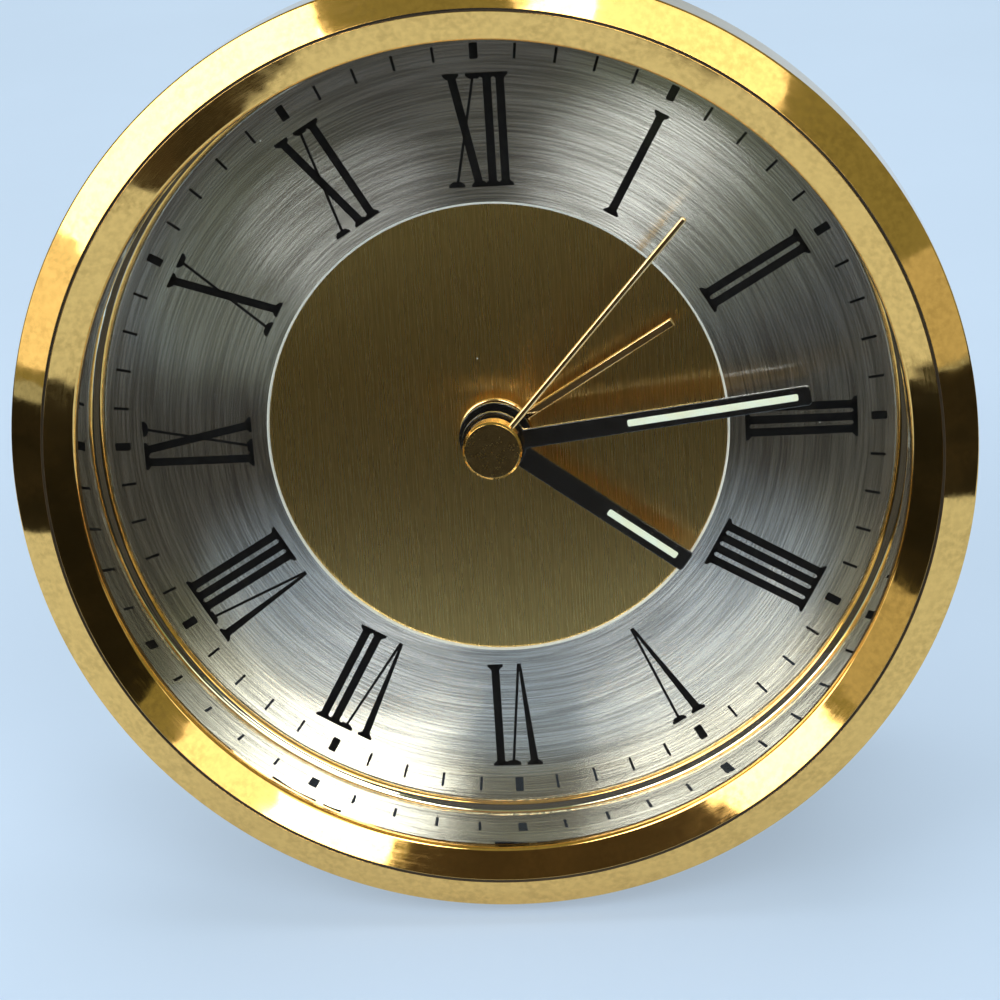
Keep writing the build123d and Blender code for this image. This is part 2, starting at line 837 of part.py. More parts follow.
def baton_hand(length, width, back, hub_radius, tube_radius, lume_width, lume_shares):
    """Flat baton with a round hub and a slot for its lume strip, and the strip itself."""
    front = back + baton_thickness
    hand = slab(-width / 2, width / 2, 0, length, back, front)
    hand = fillet(hand.edges().filter_by(Axis.Z).sort_by(Axis.Y)[-2:], baton_corner_radius)
    hand = hand + disc(hub_radius, back, front)
    hand = hand - disc(tube_radius + seat_gap, back - overrun, front + overrun)
    low, high = (share * length for share in lume_shares)
    strip = slab(-lume_width / 2, lume_width / 2, low, high, back, front)
    strip = fillet(strip.edges().filter_by(Axis.Z), lume_width * lume_end_share)
    return hand - strip, strip


def make_alarm_hand():
    back = alarm_hand_height
    front = back + alarm_hand_thickness
    half = alarm_hand_width / 2
    hand = slab(-half, half, 0, alarm_hand_length, back, front) + disc(alarm_hub_radius, back, front)
    return hand - disc(alarm_outer + seat_gap, back - overrun, front + overrun)


def make_second_hand():
    """Straight needle that starts inside the cap."""
    half = second_hand_width / 2
    start = cap_radius - second_hand_root
    front = second_hand_height + second_hand_thickness
    return slab(-half, half, start, second_hand_length, second_hand_height, front)


def make_second_cap():
    """Round cap with a flat top and a centre punch mark, pressed on the second arbor."""
    back = cap_top - cap_height
    points = [
        (second_arbor_radius + seat_gap, back),
        (cap_radius, back),
        (cap_radius, cap_top),
        (cap_dot_radius, cap_top),
        (0, cap_top - cap_dot_depth),
        (0, second_hand_height),
        (second_arbor_radius + seat_gap, second_hand_height),
    ]
    cap = turned(points, [((cap_radius, cap_top), cap_edge_round)])
    half = second_hand_width / 2
    notch_back = second_hand_height
    notch_front = notch_back + second_hand_thickness
    start = cap_radius - second_hand_root
    return cap - slab(-half, half, start, cap_radius + overrun, notch_back, notch_front)


def turned_to(shape, angle):
    """Hand piece turned clockwise from 12 o'clock."""
    return Rot(0, 0, -angle) * shape


def make_alarm_wheel():
    wheel = gear(alarm_teeth, alarm_module, 0.0, alarm_layer, alarm_layer + wheel_thickness)
    top = alarm_hand_height + alarm_hand_thickness + tube_overhang
    wheel = wheel + disc(alarm_outer, alarm_layer, top)
    return wheel - disc(alarm_inner, alarm_layer - overrun, top + overrun)


def make_hour_wheel():
    wheel = gear(hour_teeth, hour_module, hour_phase, hour_layer, hour_layer + wheel_thickness)
    top = hour_hand_height + baton_thickness + tube_overhang
    wheel = wheel + disc(hour_outer, hour_layer, top)
    return wheel - disc(hour_inner, hour_layer - overrun, top + overrun)


def make_cannon_pinion():
    """Pinion and tube that carry the minute hand and grip the minute wheel's sleeve."""
    front = motion_layer + wheel_thickness
    pinion = gear(cannon_teeth, motion_module, 0.0, motion_layer, front, pinion=True)
    top = minute_hand_height + baton_thickness + tube_overhang
    pinion = pinion + disc(cannon_outer, motion_layer, top)
    pinion = pinion - disc(sleeve_inner, motion_layer - overrun, top + overrun)
    return pinion - disc(sleeve_outer + seat_gap, motion_layer - overrun, alarm_layer)


def make_minute_wheel():
    wheel = gear(minute_teeth, minute_module, minute_phase, minute_layer, minute_layer + wheel_thickness)
    wheel = wheel + disc(sleeve_outer, minute_layer, alarm_layer - layer_gap)
    return wheel - disc(sleeve_inner, minute_layer - overrun, alarm_layer + overrun)


def make_second_wheel():
    wheel = gear(second_teeth, second_module, 0.0, second_layer, second_layer + wheel_thickness)
    back = second_layer + wheel_thickness
    front = third_layer + wheel_thickness
    wheel = wheel + gear(second_pinion_teeth, third_module, 0.0, back, front, pinion=True)
    return wheel + disc(second_arbor_radius, bridge_back, second_hand_height)


def make_third_wheel():
    wheel = gear(third_teeth, third_module, third_phase, third_layer, third_layer + wheel_thickness, third_at)
    front = minute_layer + wheel_thickness
    pinion_back = third_layer + wheel_thickness
    wheel = wheel + gear(third_pinion_teeth, minute_module, 0.0, pinion_back, front, third_at, pinion=True)
    return wheel + disc(arbor_radius, bridge_back, middle_plate_front, third_at)


def make_intermediate_wheel():
    pinion_back = rotor_layer + wheel_thickness
    wheel = gear(intermediate_teeth, second_module, 0.0, rotor_layer, pinion_back, intermediate_at)
    front = second_layer + wheel_thickness
    wheel = wheel + gear(intermediate_pinion_teeth, second_module, intermediate_phase, pinion_back, front,
                         intermediate_at, pinion=True)
    return wheel - disc(stud_radius + running_gap, rotor_layer - overrun, front + overrun, intermediate_at)


def make_rotor_pinion():
    front = rotor_layer + wheel_thickness
    pinion = gear(rotor_teeth, second_module, rotor_phase, rotor_layer, front, rotor_at, pinion=True)
    return pinion + disc(arbor_radius, bridge_back, middle_plate_front, rotor_at)


def make_rotor_magnet():
    back = magnet_middle() - magnet_length / 2
    return tube(arbor_radius + seat_gap, magnet_radius, back, back + magnet_length, rotor_at)


def make_motion_wheel():
    front = motion_layer + wheel_thickness
    wheel = gear(motion_teeth, motion_module, motion_phase, motion_layer, front, motion_at)
    pinion_front = hour_layer + wheel_thickness
    wheel = wheel + gear(motion_pinion_teeth, hour_module, 0.0, front, pinion_front, motion_at, pinion=True)
    return wheel - disc(post_radius + running_gap, motion_layer - overrun, pinion_front + overrun, motion_at)


def setting_shaft(at, teeth, module, phase, layer):
    """Shaft from its pivot in the front plate, through its pinion, back into its knob."""
    shaft = gear(teeth, module, phase, layer, layer + wheel_thickness, at, pinion=True)
    shaft = shaft + disc(setting_shaft_radius, knob_back + knob_standoff, layer + wheel_thickness, at)
    return shaft + disc(setting_pivot_radius, layer, dial_back - seat_gap, at)


def setting_knob(at):
    """Fluted knob on the end of a setting shaft."""
    knob = Cylinder(knob_radius, knob_length)
    knob = fillet(knob.edges().filter_by(GeomType.CIRCLE).sort_by(Axis.Z)[0], knob_edge_round)
    for flute in range(knob_flutes):
        place = polar(knob_radius, flute * 360.0 / knob_flutes)
        knob = knob - Pos(place[0], place[1], 0) * Cylinder(knob_flute_radius, knob_length + overrun)
    knob = Pos(at[0], at[1], (knob_front + knob_back) / 2) * knob
    return knob - disc(setting_shaft_radius + seat_gap, knob_back + knob_standoff, knob_front + overrun, at)


def make_alarm_switch():
    """Slide with a ridged tab outside the cover and a base plate held behind it."""
    middle = -switch_travel / 2
    base_back = cover_front + slide_gap
    half_base = switch_base_width / 2
    half_height = switch_base_height / 2
    switch = slab(middle - half_base, middle + half_base, switch_y - half_height, switch_y + half_height,
                  base_back, base_back + switch_base_thickness)
    half_tab = switch_tab_width / 2
    tab_height = switch_tab_height / 2
    tab_back = cover_back - switch_tab_reach
    bottom = switch_y - tab_height
    top = switch_y + tab_height
    tab = slab(middle - half_tab, middle + half_tab, bottom, top, tab_back, base_back)
    for place in (-1, 0, 1):
        centre = middle + place * switch_ridge_width * 2
        half_ridge = switch_ridge_width / 2
        tab = tab - slab(centre - half_ridge, centre + half_ridge, bottom - overrun, top + overrun,
                         tab_back - overrun, tab_back + switch_ridge_width)
    return switch + tab


def make_battery_door():
    """Door that slides out to the right, with flanges in the cover's grooves and finger ribs."""
    panel = Pos(0, 0, cover_back) * door_outline(door_half_height, door_panel_thickness)
    flange_back = cover_back + door_panel_thickness
    flange = Pos(0, 0, flange_back) * door_outline(door_half_height + door_flange, door_flange_thickness)
    door = panel + flange
    for rib in range(door_ribs):
        left = movement_half_width - door_rib_inset + rib * door_rib_pitch
        half_rib = door_half_height / 2
        door = door + slab(left, left + door_rib_width, battery_y - half_rib, battery_y + half_rib,
                           cover_back - door_rib_height, cover_back)
    return door


def opened(shape):
    """Strut piece drawn folded flat, swung out to its stop."""
    return Pos(0, hinge_y, hinge_w) * Rot(strut_open_angle, 0, 0) * Pos(0, -hinge_y, -hinge_w) * shape


def strut_levels():
    front = cover_back - strut_standoff
    return front - strut_thickness, front


def strut_blank():
    """Pressed plate, drawn folded flat: neck between the ears, then a wide foot."""
    back, front = strut_levels()
    neck = knuckle_half_length - slide_gap
    foot = hinge_y - strut_length
    shoulder = hinge_y - strut_neck
    outline = [
        (neck, hinge_y + strut_heel),
        (neck, shoulder),
        (strut_shoulder_half_width, shoulder - strut_shoulder),
        (strut_foot_half_width, foot),
    ]
    outline = outline + [(-x, y) for x, y in reversed(outline)]
    plate = prism(outline, back, front)
    corners = plate.edges().filter_by(Axis.Z).sort_by(Axis.Y)[:2]
    return fillet(corners, strut_corner_radius)


def make_strut():
    """Plate with its hinge barrel and a keyhole-shaped window."""
    back, front = strut_levels()
    plate = strut_blank() + along_x(knuckle_radius, -knuckle_half_length, knuckle_half_length)
    inset = strut_window_inset
    top = hinge_y - strut_neck - strut_shoulder - inset
    bottom = hinge_y - strut_length + pad_height + inset
    window = prism([
        (strut_shoulder_half_width - inset, top),
        (strut_foot_half_width - inset * 2, bottom),
        (inset * 2 - strut_foot_half_width, bottom),
        (inset - strut_shoulder_half_width, top),
    ], back - overrun, front + overrun)
    window = fillet(window.edges().filter_by(Axis.Z), strut_corner_radius)
    plate = plate - window
    reach = knuckle_half_length + overrun
    return opened(plate - along_x(pin_radius + running_gap, -reach, reach))


def below_desk():
    """Everything under the desk's surface, in the clock's leaned frame."""
    size = bezel_radius * 4
    desk = Plane((0, -axis_height * lean_cos, -axis_height * lean_sin), (1, 0, 0), (0, lean_cos, lean_sin))
    return desk * Pos(0, 0, -size / 2) * Box(size, size, size)


def make_foot_pad():
    """Rubber shoe over the strut's end, cut level where it stands on the desk."""
    back, front = strut_levels()
    half = strut_foot_half_width + pad_wrap
    foot = hinge_y - strut_length
    bottom = foot - pad_thickness * 2
    top = foot + pad_height - pad_thickness
    shoe = slab(-half, half, bottom, top, back - pad_wrap, front + pad_wrap)
    corners = shoe.edges().filter_by(Axis.Z).sort_by(Axis.Y)[:2]
    shoe = fillet(corners, strut_corner_radius)
    return opened(shoe - strut_blank()) - below_desk()


def make_parts():
    """Every piece by name, in the clock's own frame."""
    hour_hand, hour_lume = baton_hand(
        hour_hand_length, hour_hand_width, hour_hand_height, hour_hub_radius, hour_outer,
        hour_lume_width, hour_lume_shares)
    minute_hand, minute_lume = baton_hand(
        minute_hand_length, minute_hand_width, minute_hand_height, minute_hub_radius, cannon_outer,
        minute_lume_width, minute_lume_shares)
    time_shaft = setting_shaft(time_at, time_pinion_teeth, motion_module, time_phase, motion_layer)
    alarm_shaft = setting_shaft(alarm_at, alarm_pinion_teeth, alarm_module, alarm_phase, alarm_layer)
    return {
        "bezel": make_bezel(),
        "crystal": disc(crystal_radius, crystal_back, crystal_front),
        "crystal_gasket": make_gasket(),
        "reflector_ring": make_reflector(),
        "dial_plate": make_dial_plate(),
        "chapter_ring": make_chapter_ring(),
        "case_drum": make_case_drum(),
        "rear_cover": make_rear_cover(),
        "cover_screws": make_cover_screws(),
        "hinge_pin": make_hinge_pin(),
        "movement_front_plate": make_front_plate(),
        "movement_middle_plate": make_middle_plate(),
        "movement_bridge_plate": make_bridge_plate(),
        "movement_case": make_movement_case(),
        "circuit_board": make_circuit_board(),
        "ic_chip": make_chip(),
        "quartz_can": make_quartz_can(),
        "stator": make_stator(),
        "coil_bobbin": make_coil_bobbin(),
        "coil_winding": make_coil_winding(),
        "buzzer_disc": make_buzzer(),
        "battery_cell": make_battery(),
        "battery_contact_positive": make_contact(1),
        "battery_contact_negative": make_contact(-1),
        "alarm_hand": turned_to(make_alarm_hand(), alarm_hand_angle),
        "alarm_wheel": make_alarm_wheel(),
        "hour_hand": turned_to(hour_hand, hour_hand_angle),
        "hour_hand_lume": turned_to(hour_lume, hour_hand_angle),
        "hour_wheel": make_hour_wheel(),
        "minute_hand": turned_to(minute_hand, minute_hand_angle),
        "minute_hand_lume": turned_to(minute_lume, minute_hand_angle),
        "cannon_pinion": make_cannon_pinion(),
        "minute_wheel": make_minute_wheel(),
        "second_hand": turned_to(make_second_hand(), second_hand_angle),
        "second_hand_cap": turned_to(make_second_cap(), second_hand_angle),
        "second_wheel": make_second_wheel(),
        "third_wheel": make_third_wheel(),
        "intermediate_wheel": make_intermediate_wheel(),
        "rotor_pinion": make_rotor_pinion(),
        "rotor_magnet": make_rotor_magnet(),
        "motion_wheel": make_motion_wheel(),
        "time_set_shaft": time_shaft,
        "time_set_knob": setting_knob(time_at),
        "alarm_set_shaft": alarm_shaft,
        "alarm_set_knob": setting_knob(alarm_at),
        "alarm_switch": make_alarm_switch(),
        "battery_door": make_battery_door(),
        "stand_strut": make_strut(),
        "strut_foot_pad": make_foot_pad(),
    }


def leaned_plane(parts):
    """Plane that leans the clock back and puts the origin under the middle of its bounding box."""
    leaned = Plane((0, 0, axis_height), (1, 0, 0), (0, -lean_cos, lean_sin))
    boxes = [(leaned * shape).bounding_box() for shape in parts.values()]
    middle_x = (min(box.min.X for box in boxes) + max(box.max.X for box in boxes)) / 2
    middle_y = (min(box.min.Y for box in boxes) + max(box.max.Y for box in boxes)) / 2
    return Plane((-middle_x, -middle_y, axis_height), (1, 0, 0), (0, -lean_cos, lean_sin))


os.makedirs("parts", exist_ok=True)
clock_parts = make_parts()
standing = leaned_plane(clock_parts)
for node, shape in clock_parts.items():
    export_step(standing * shape, f"parts/{node}.step")
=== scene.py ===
"""Looks of the round brass alarm clock: turned metal, printed dial, hands, rear side and a soft studio."""
import json
import math

import bpy
from mathutils import Matrix, Vector
from mathutils.geometry import tessellate_polygon


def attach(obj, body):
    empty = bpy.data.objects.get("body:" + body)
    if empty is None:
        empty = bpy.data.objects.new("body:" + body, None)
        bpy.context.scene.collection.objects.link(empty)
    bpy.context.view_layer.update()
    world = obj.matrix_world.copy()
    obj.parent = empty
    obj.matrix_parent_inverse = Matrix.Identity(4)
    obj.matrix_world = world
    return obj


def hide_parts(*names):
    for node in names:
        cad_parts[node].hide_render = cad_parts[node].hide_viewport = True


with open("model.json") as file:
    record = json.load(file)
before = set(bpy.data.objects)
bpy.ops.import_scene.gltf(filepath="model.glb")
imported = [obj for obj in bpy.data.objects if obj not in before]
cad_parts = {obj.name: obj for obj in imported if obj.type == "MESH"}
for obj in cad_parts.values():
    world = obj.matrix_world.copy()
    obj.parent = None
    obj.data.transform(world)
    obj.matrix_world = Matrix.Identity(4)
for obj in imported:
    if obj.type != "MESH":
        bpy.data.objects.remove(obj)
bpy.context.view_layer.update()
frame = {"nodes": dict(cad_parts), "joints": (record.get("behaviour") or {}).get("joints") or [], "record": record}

# Sizes are millimetres in the dial's own frame: x to 3 o'clock, y to 12 o'clock, w out of the dial.
MM = 0.001

# Fineness of the meshes: steps in a turn, a bevel and a rounded profile, then degrees in one step of an arc
TURN_STEPS = 288
BEVEL_STEPS = 4
LEAST_PROFILE_STEPS = 3
PROFILE_STEP = 12.0
CORNER_STEP = 15.0
HUB_STEP = 6.0
CIRCLE_STEP = 5.0
CARD_STEP = 4.0

# Bezel
EDGE_HEIGHT = 10.2
EDGE_ROUND = 0.3
CREST_RADIUS = 41.7
GROOVE_WIDTH = 0.26
GROOVE_DEPTH = 0.26
GROOVE_ROUND = 0.05
LIP_HEIGHT = 10.6
LIP_ROUND = 0.6
BACK_CHAMFER = 0.4
BORE_RADIUS = 42.0
PANE_ROUND = 0.15

# Dial
RING_CHAMFER = 0.15
RING_EDGE_ROUND = 0.24
PLATE_ROUND = 0.05
FOOT_HEIGHT = 0.5
BEAD_ROUND = 0.6
WALL_FOOT_RADIUS = 38.95
WALL_WAIST = (38.72, 6.0)
WALL_CROWN = 48.0
WALL_TOP_RADIUS = 38.74
RIM_WIDTH = 0.12
RIM_GAP = 0.02

# Print on the chapter ring
INK_HEIGHT = 0.02
NUMERAL_BOTTOM = 23.8
NUMERAL_TOP = 34.5
STEM_WIDTH = 0.8
THIN_WIDTH = 0.26
SERIF_THICKNESS = 0.24
SERIF_OVERHANG = 0.36
SERIF_BRACKET = 0.55
STEM_PITCH = 1.22
DIAGONAL_REACH = 1.08
HOUR_MARK_WIDTH = 0.8
HOUR_MARK_SPAN = (35.8, 37.3)
MINUTE_MARK_WIDTH = 0.26
MINUTE_MARK_SPAN = (35.82, 37.27)
HOUR_MARK_ROUND = 0.12
MINUTE_MARK_ROUND = 0.05
HOUR_TURN = 30.0
MINUTE_TURN = 6.0
MINUTES = 60
MINUTES_IN_HOUR_STEP = 5
NUMERALS = ("XII", "I", "II", "III", "IIII", "V", "VI", "VII", "VIII", "IX", "X", "XI")

# Hands: batons as width and hub radius, lume as width with its start and end in shares of the length
HAND_ANGLES = {"alarm": 59.2, "hour": 126.6, "minute": 83.5, "second": 41.9}
HAND_BEVEL = 0.1
BATON_CORNER = 0.4
HOUR_BATON = (2.12, 3.5)
MINUTE_BATON = (1.88, 3.1)
LUME_BEVEL = 0.1
LUME_CORNER = 0.2
HOUR_LUME = (0.71, 0.585, 0.945)
MINUTE_LUME = (0.7, 0.423, 0.96)
ALARM_WIDTH = 0.82
ALARM_BEVEL = 0.2
ALARM_HUB_RADIUS = 3.6
NEEDLE_WIDTH = 0.6
NEEDLE_BEVEL = 0.2
CAP_BEVEL = 0.2
CAP_RIM_WIDTH = 0.22
CAP_DOT_RADIUS = 0.15
CAP_DOT_DEPTH = 0.1

# Surfaces: noise scales in cells per metre, usual ranges of noise, bumps as strength and depth in metres
FLAT = (1.0, 1.0, 0.0)
NOISE_MIDDLE = (0.3, 0.7)
TURNED_MARKS = (6000.0, 9.0)
TURNED_SPREAD = 1.6
TURNED_BUMP = (0.05, 0.0005)
CLOUD_SCALE = 260.0
CLOUD_RANGE = (0.25, 0.70, 0.25, 1.0)
SPECK_SCALE = 1600.0
SPECK_RANGE = (0.30, 0.72)
HAZE_ROUGHNESS = 0.1
LINE_RUN = 3.5
LINE_SHARE = 0.88
BROAD_RUN = 3.0
BROAD_SHARE = 0.12
BROAD_WIDTH = 7
STREAK_RANGE = (0.35, 0.65)
CIRCLE_BUMP = (0.06, 0.00003)
STRAIGHT_RUN = 60
STRAIGHT_BUMP = (0.3, 0.00004)
GRAIN_SCALE = 2600.0
GRAIN_STRENGTH = 0.5
WEAR_SCALE = 70.0
WEAR_RANGE = (0.35, 0.75)
DRAWN_SCALE = (900.0, 900.0, 5000.0)
DRAWN_BUMP = (0.15, 0.00002)
SMUDGE_SCALE = 300.0
SMUDGE_RANGE = (0.4, 0.75)
PAINT_DUST_SCALE = 2800.0
PAINT_DUST_RANGE = (0.74, 0.80)
PEEL_SCALE = 900.0
PEEL_BUMP = (0.08, 0.0001)
INK_PATCH_SCALE = 1500.0
INK_PATCH_RANGE = (0.4, 0.75)
CHALK_SCALE = 5200.0
CHALK_BUMP = (0.5, 0.00006)
AGE_SCALE = 420.0
AGE_RANGE = (0.35, 0.7)
GLASS_INDEX = 1.45
GLASS_ROUGHNESS = 0.01
GLASS_TINT = (0.985, 0.99, 0.985, 1.0)
DUST_SCALE = 420.0
DUST_RARITY = 5.0
DUST_SIZE = 0.06
DUST_COVER = 0.55
DUST_COLOUR = (0.85, 0.85, 0.82, 1.0)
PAPER_SCALE = 14.0
PAPER_SHADE = 0.97
CARD_GRAIN = (0.9, 0.0002, 40.0)

# Camera, fitted to the photograph: place in the dial's frame, turn as a rotation vector in degrees
CAMERA_AT = (21.78, 70.61, 264.33)
CAMERA_TURN = (16.428, -4.193, 2.938)
CAMERA_LENS = 102.6
CAMERA_SENSOR = 36.0

# Studio, in metres and degrees, with azimuth counted from straight in front of the clock to the right
# Cards are two azimuths and a height, the apron two azimuths and its near edge.
# Lamps are azimuth, elevation, width, height and radiance.
FLOOR_SIZE = 8.0
CARD_RADIUS = 0.17
CARD_FOOT = 0.001
APRON = (-16.0, 10.0, 0.09)
DARK_CARDS = {
    "card_left": (-115.0, -24.0, 0.048),
    "card_right": (26.0, 115.0, 0.05),
    "card_near_right": (8.0, 46.0, 0.072),
}
BROWN_CARDS = {"card_middle": (-24.0, 12.0, 0.075), "card_tall": (-21.0, 4.0, 0.18)}
SOFTBOX_DISTANCE = 1.0
SOFTBOXES = {
    "softbox_left": (-53.0, 34.0, 0.62, 0.72, 3.3),
    "softbox_right": (27.0, 38.0, 0.46, 0.80, 3.3),
    "softbox_top": (180.0, 76.0, 0.80, 0.60, 4.2),
}
PANEL_DISTANCE = 0.98
PANELS = {
    "panel_left": (-51.0, 37.0, 0.66, 0.66, 4.4),
    "panel_upper_left": (-32.0, 47.0, 0.22, 0.30, 4.0),
    "panel_right": (16.0, 40.0, 0.18, 0.84, 7.0),
    "panel_far_right": (35.0, 40.0, 0.46, 0.72, 1.5),
    "panel_far_left": (-74.0, 10.0, 0.24, 0.28, 0.9),
    "panel_low_left": (-50.0, 9.0, 0.50, 0.24, 0.25),
    "panel_low_right": (62.0, 7.0, 0.26, 0.24, 0.3),
}
WORLD_COLOUR = (0.24, 0.26, 0.15)
BACKDROP_COLOUR = (0.57, 0.72, 0.90)
FLOOR_COLOUR = (0.57, 0.72, 0.94)
FLOOR_GLOW = 0.5


def dial_frame():
    """Frame of the dial, from the joint that carries the second hand."""
    spin = next(joint for joint in frame["joints"] if joint["name"] == "second_spin")
    out = -Vector(spin["axis"])
    right = Vector((1.0, 0.0, 0.0))
    axes = Matrix((right, out.cross(right), out)).transposed().to_4x4()
    return Matrix.Translation(Vector(spin["pos_m"])) @ axes


DIAL = dial_frame()


def measure(name):
    """Least and greatest radius and level of a CAD node about the dial's axis."""
    to_dial = DIAL.inverted()
    points = [(to_dial @ vertex.co) / MM for vertex in frame["nodes"][name].data.vertices]
    radii = [math.hypot(point.x, point.y) for point in points]
    levels = [point.z for point in points]
    return min(radii), max(radii), min(levels), max(levels)


# Mesh building

def add_piece(name, shape, body, slot, replaced=(), place=DIAL, surface=None, accents=None):
    """Mesh object with exact shading normals that rides on a body and may stand for CAD nodes.
    Shape is points, normals and faces. Its surface is that of the slot, unless another is named.
    Accents is a second surface's name and the numbers of the faces that it covers."""
    points, normals, faces = shape
    mesh = bpy.data.meshes.new(name)
    mesh.from_pydata([Vector(point) * MM for point in points], [], faces)
    mesh.shade_smooth()
    mesh.normals_split_custom_set_from_vertices(normals)
    mesh.materials.append(surfaces[surface or slot])
    if accents:
        mesh.materials.append(surfaces[accents[0]])
        for face in accents[1]:
            mesh.polygons[face].material_index = 1
    piece = bpy.data.objects.new(name, mesh)
    bpy.context.scene.collection.objects.link(piece)
    piece.matrix_world = place
    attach(piece, body)
    if replaced:
        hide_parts(*replaced)


def profile_corner(before, corner, after, winding):
    """Points and outward normals at one corner of a profile: an arc, or two normals where it is sharp."""
    radius = corner[2]
    entering = Vector((corner[0] - before[0], corner[1] - before[1])).normalized()
    leaving = Vector((after[0] - corner[0], after[1] - corner[1])).normalized()
    first = math.atan2(-entering.x * winding, entering.y * winding)
    bend = math.atan2(entering.x * leaving.y - entering.y * leaving.x, entering.dot(leaving))
    if radius == 0:
        return [(corner[0], corner[1], first), (corner[0], corner[1], first + bend)]
    side = math.copysign(1.0, bend * winding)
    reach = radius * math.tan(abs(bend) / 2)
    start = Vector(corner[:2]) - entering * reach
    centre = start - Vector((math.cos(first), math.sin(first))) * radius * side
    steps = max(LEAST_PROFILE_STEPS, math.ceil(abs(math.degrees(bend)) / PROFILE_STEP))
    curve = []
    for step in range(steps + 1):
        angle = first + bend * step / steps
        across = centre.x + radius * side * math.cos(angle)
        along = centre.y + radius * side * math.sin(angle)
        curve.append((across, along, angle))
    return curve


def profile(corners):
    """Points with outward normal angles, and the winding, of a closed (radius, level, rounding) profile."""
    count = len(corners)
    area = sum(corners[i - 1][0] * corners[i][1] - corners[i][0] * corners[i - 1][1] for i in range(count))
    winding = math.copysign(1.0, area)
    points = []
    for i, corner in enumerate(corners):
        points.extend(profile_corner(corners[i - 1], corner, corners[(i + 1) % count], winding))
    return points, winding


def turned(name, corners, body, slot, replaced, surface=None, accent=None):
    """Lathe piece about the dial's axis.
    Accent is a second surface's name and the least and greatest radius of the faces that it covers."""
    rings, winding = profile(corners)
    points, normals, faces, covered = [], [], [], []
    for step in range(TURN_STEPS):
        angle = 2 * math.pi * step / TURN_STEPS
        for radius, level, slope in rings:
            points.append((radius * math.cos(angle), radius * math.sin(angle), level))
            flat = math.cos(slope)
            normals.append((flat * math.cos(angle), flat * math.sin(angle), math.sin(slope)))
    count = len(rings)
    for step in range(TURN_STEPS):
        here, there = step * count, (step + 1) % TURN_STEPS * count
        for i in range(count):
            j = (i + 1) % count
            if math.dist(rings[i][:2], rings[j][:2]) < MM or rings[i][0] + rings[j][0] == 0:
                continue
            quad = [here + i, there + i, there + j, here + j]
            if rings[i][0] == 0:
                quad.pop(1)
            elif rings[j][0] == 0:
                quad.pop(2)
            radii = (rings[i][0], rings[j][0])
            if accent and accent[1] <= min(radii) and max(radii) <= accent[2]:
                covered.append(len(faces))
            faces.append(quad if winding > 0 else quad[::-1])
    accents = (accent[0], covered) if accent else None
    add_piece(name, (points, normals, faces), body, slot, replaced, DIAL, surface, accents)


def outline_normals(outline):
    """Outward normal at each point of a counter-clockwise outline."""
    normals = []
    for i, point in enumerate(outline):
        before, after = outline[i - 1], outline[(i + 1) % len(outline)]
        first = Vector((point[1] - before[1], before[0] - point[0])).normalized()
        second = Vector((after[1] - point[1], point[0] - after[0])).normalized()
        normals.append((first + second).normalized())
    return normals


def plate_mesh(outline, holes, back, front, bevel):
    """Flat plate over an outline with straight holes and a rounded front edge: points, normals and faces."""
    points, normals, faces = [], [], []
    sides = outline_normals(outline)
    count = len(outline)
    steps = BEVEL_STEPS if bevel else 0
    layers = [(0.0, back, 0.0), (0.0, front - bevel, 0.0)]
    for step in range(1, steps + 1):
        angle = math.pi / 2 * step / steps
        layers.append((bevel * (1 - math.cos(angle)), front - bevel + bevel * math.sin(angle), angle))
    for inset, level, angle in layers:
        for point, side in zip(outline, sides):
            points.append((point[0] - side.x * inset, point[1] - side.y * inset, level))
            normals.append((side.x * math.cos(angle), side.y * math.cos(angle), math.sin(angle)))
    for layer in range(len(layers) - 1):
        for i in range(count):
            j = (i + 1) % count
            low, high = layer * count, (layer + 1) * count
            faces.append((low + i, low + j, high + j, high + i))
    for hole in holes:
        start = len(points)
        inward = outline_normals(hole)
        for level in (back, front):
            for point, side in zip(hole, inward):
                points.append((point[0], point[1], level))
                normals.append((-side.x, -side.y, 0.0))
        size = len(hole)
        for i in range(size):
            j = (i + 1) % size
            faces.append((start + j, start + i, start + size + i, start + size + j))
    inset = layers[-1][0]
    rim = [(point[0] - side.x * inset, point[1] - side.y * inset) for point, side in zip(outline, sides)]
    for level, facing, loops in ((front, 1.0, [rim, *holes]), (back, -1.0, [outline, *holes])):
        start = len(points)
        flat = [point for loop in loops for point in loop]
        points.extend((x, y, level) for x, y in flat)
        normals.extend((0.0, 0.0, facing) for _ in flat)
        for triangle in tessellate_polygon([[Vector((x, y, 0.0)) for x, y in loop] for loop in loops]):
            a, b, c = (Vector(flat[i]) for i in triangle)
            turning = (b - a).cross(c - a) * facing
            order = triangle if turning > 0 else triangle[::-1]
            faces.append(tuple(start + i for i in order))
    return points, normals, faces


def joined(meshes):
    """Several meshes as one list of points, normals and faces."""
    points, normals, faces = [], [], []
    for some_points, some_normals, some_faces in meshes:
        start = len(points)
        points.extend(some_points)
        normals.extend(some_normals)
        faces.extend(tuple(start + i for i in face) for face in some_faces)
    return points, normals, faces


def arc(centre, radius, start, end, step):
    """Points of an arc between two angles in degrees, both ends included."""
    count = max(2, math.ceil(abs(end - start) / step))
    angles = [math.radians(start + (end - start) * i / count) for i in range(count + 1)]
    return [(centre[0] + radius * math.cos(a), centre[1] + radius * math.sin(a)) for a in angles]


def circle(radius):
    """Points of a full circle about the centre."""
    return arc((0.0, 0.0), radius, 0.0, 360.0, CIRCLE_STEP)[:-1]


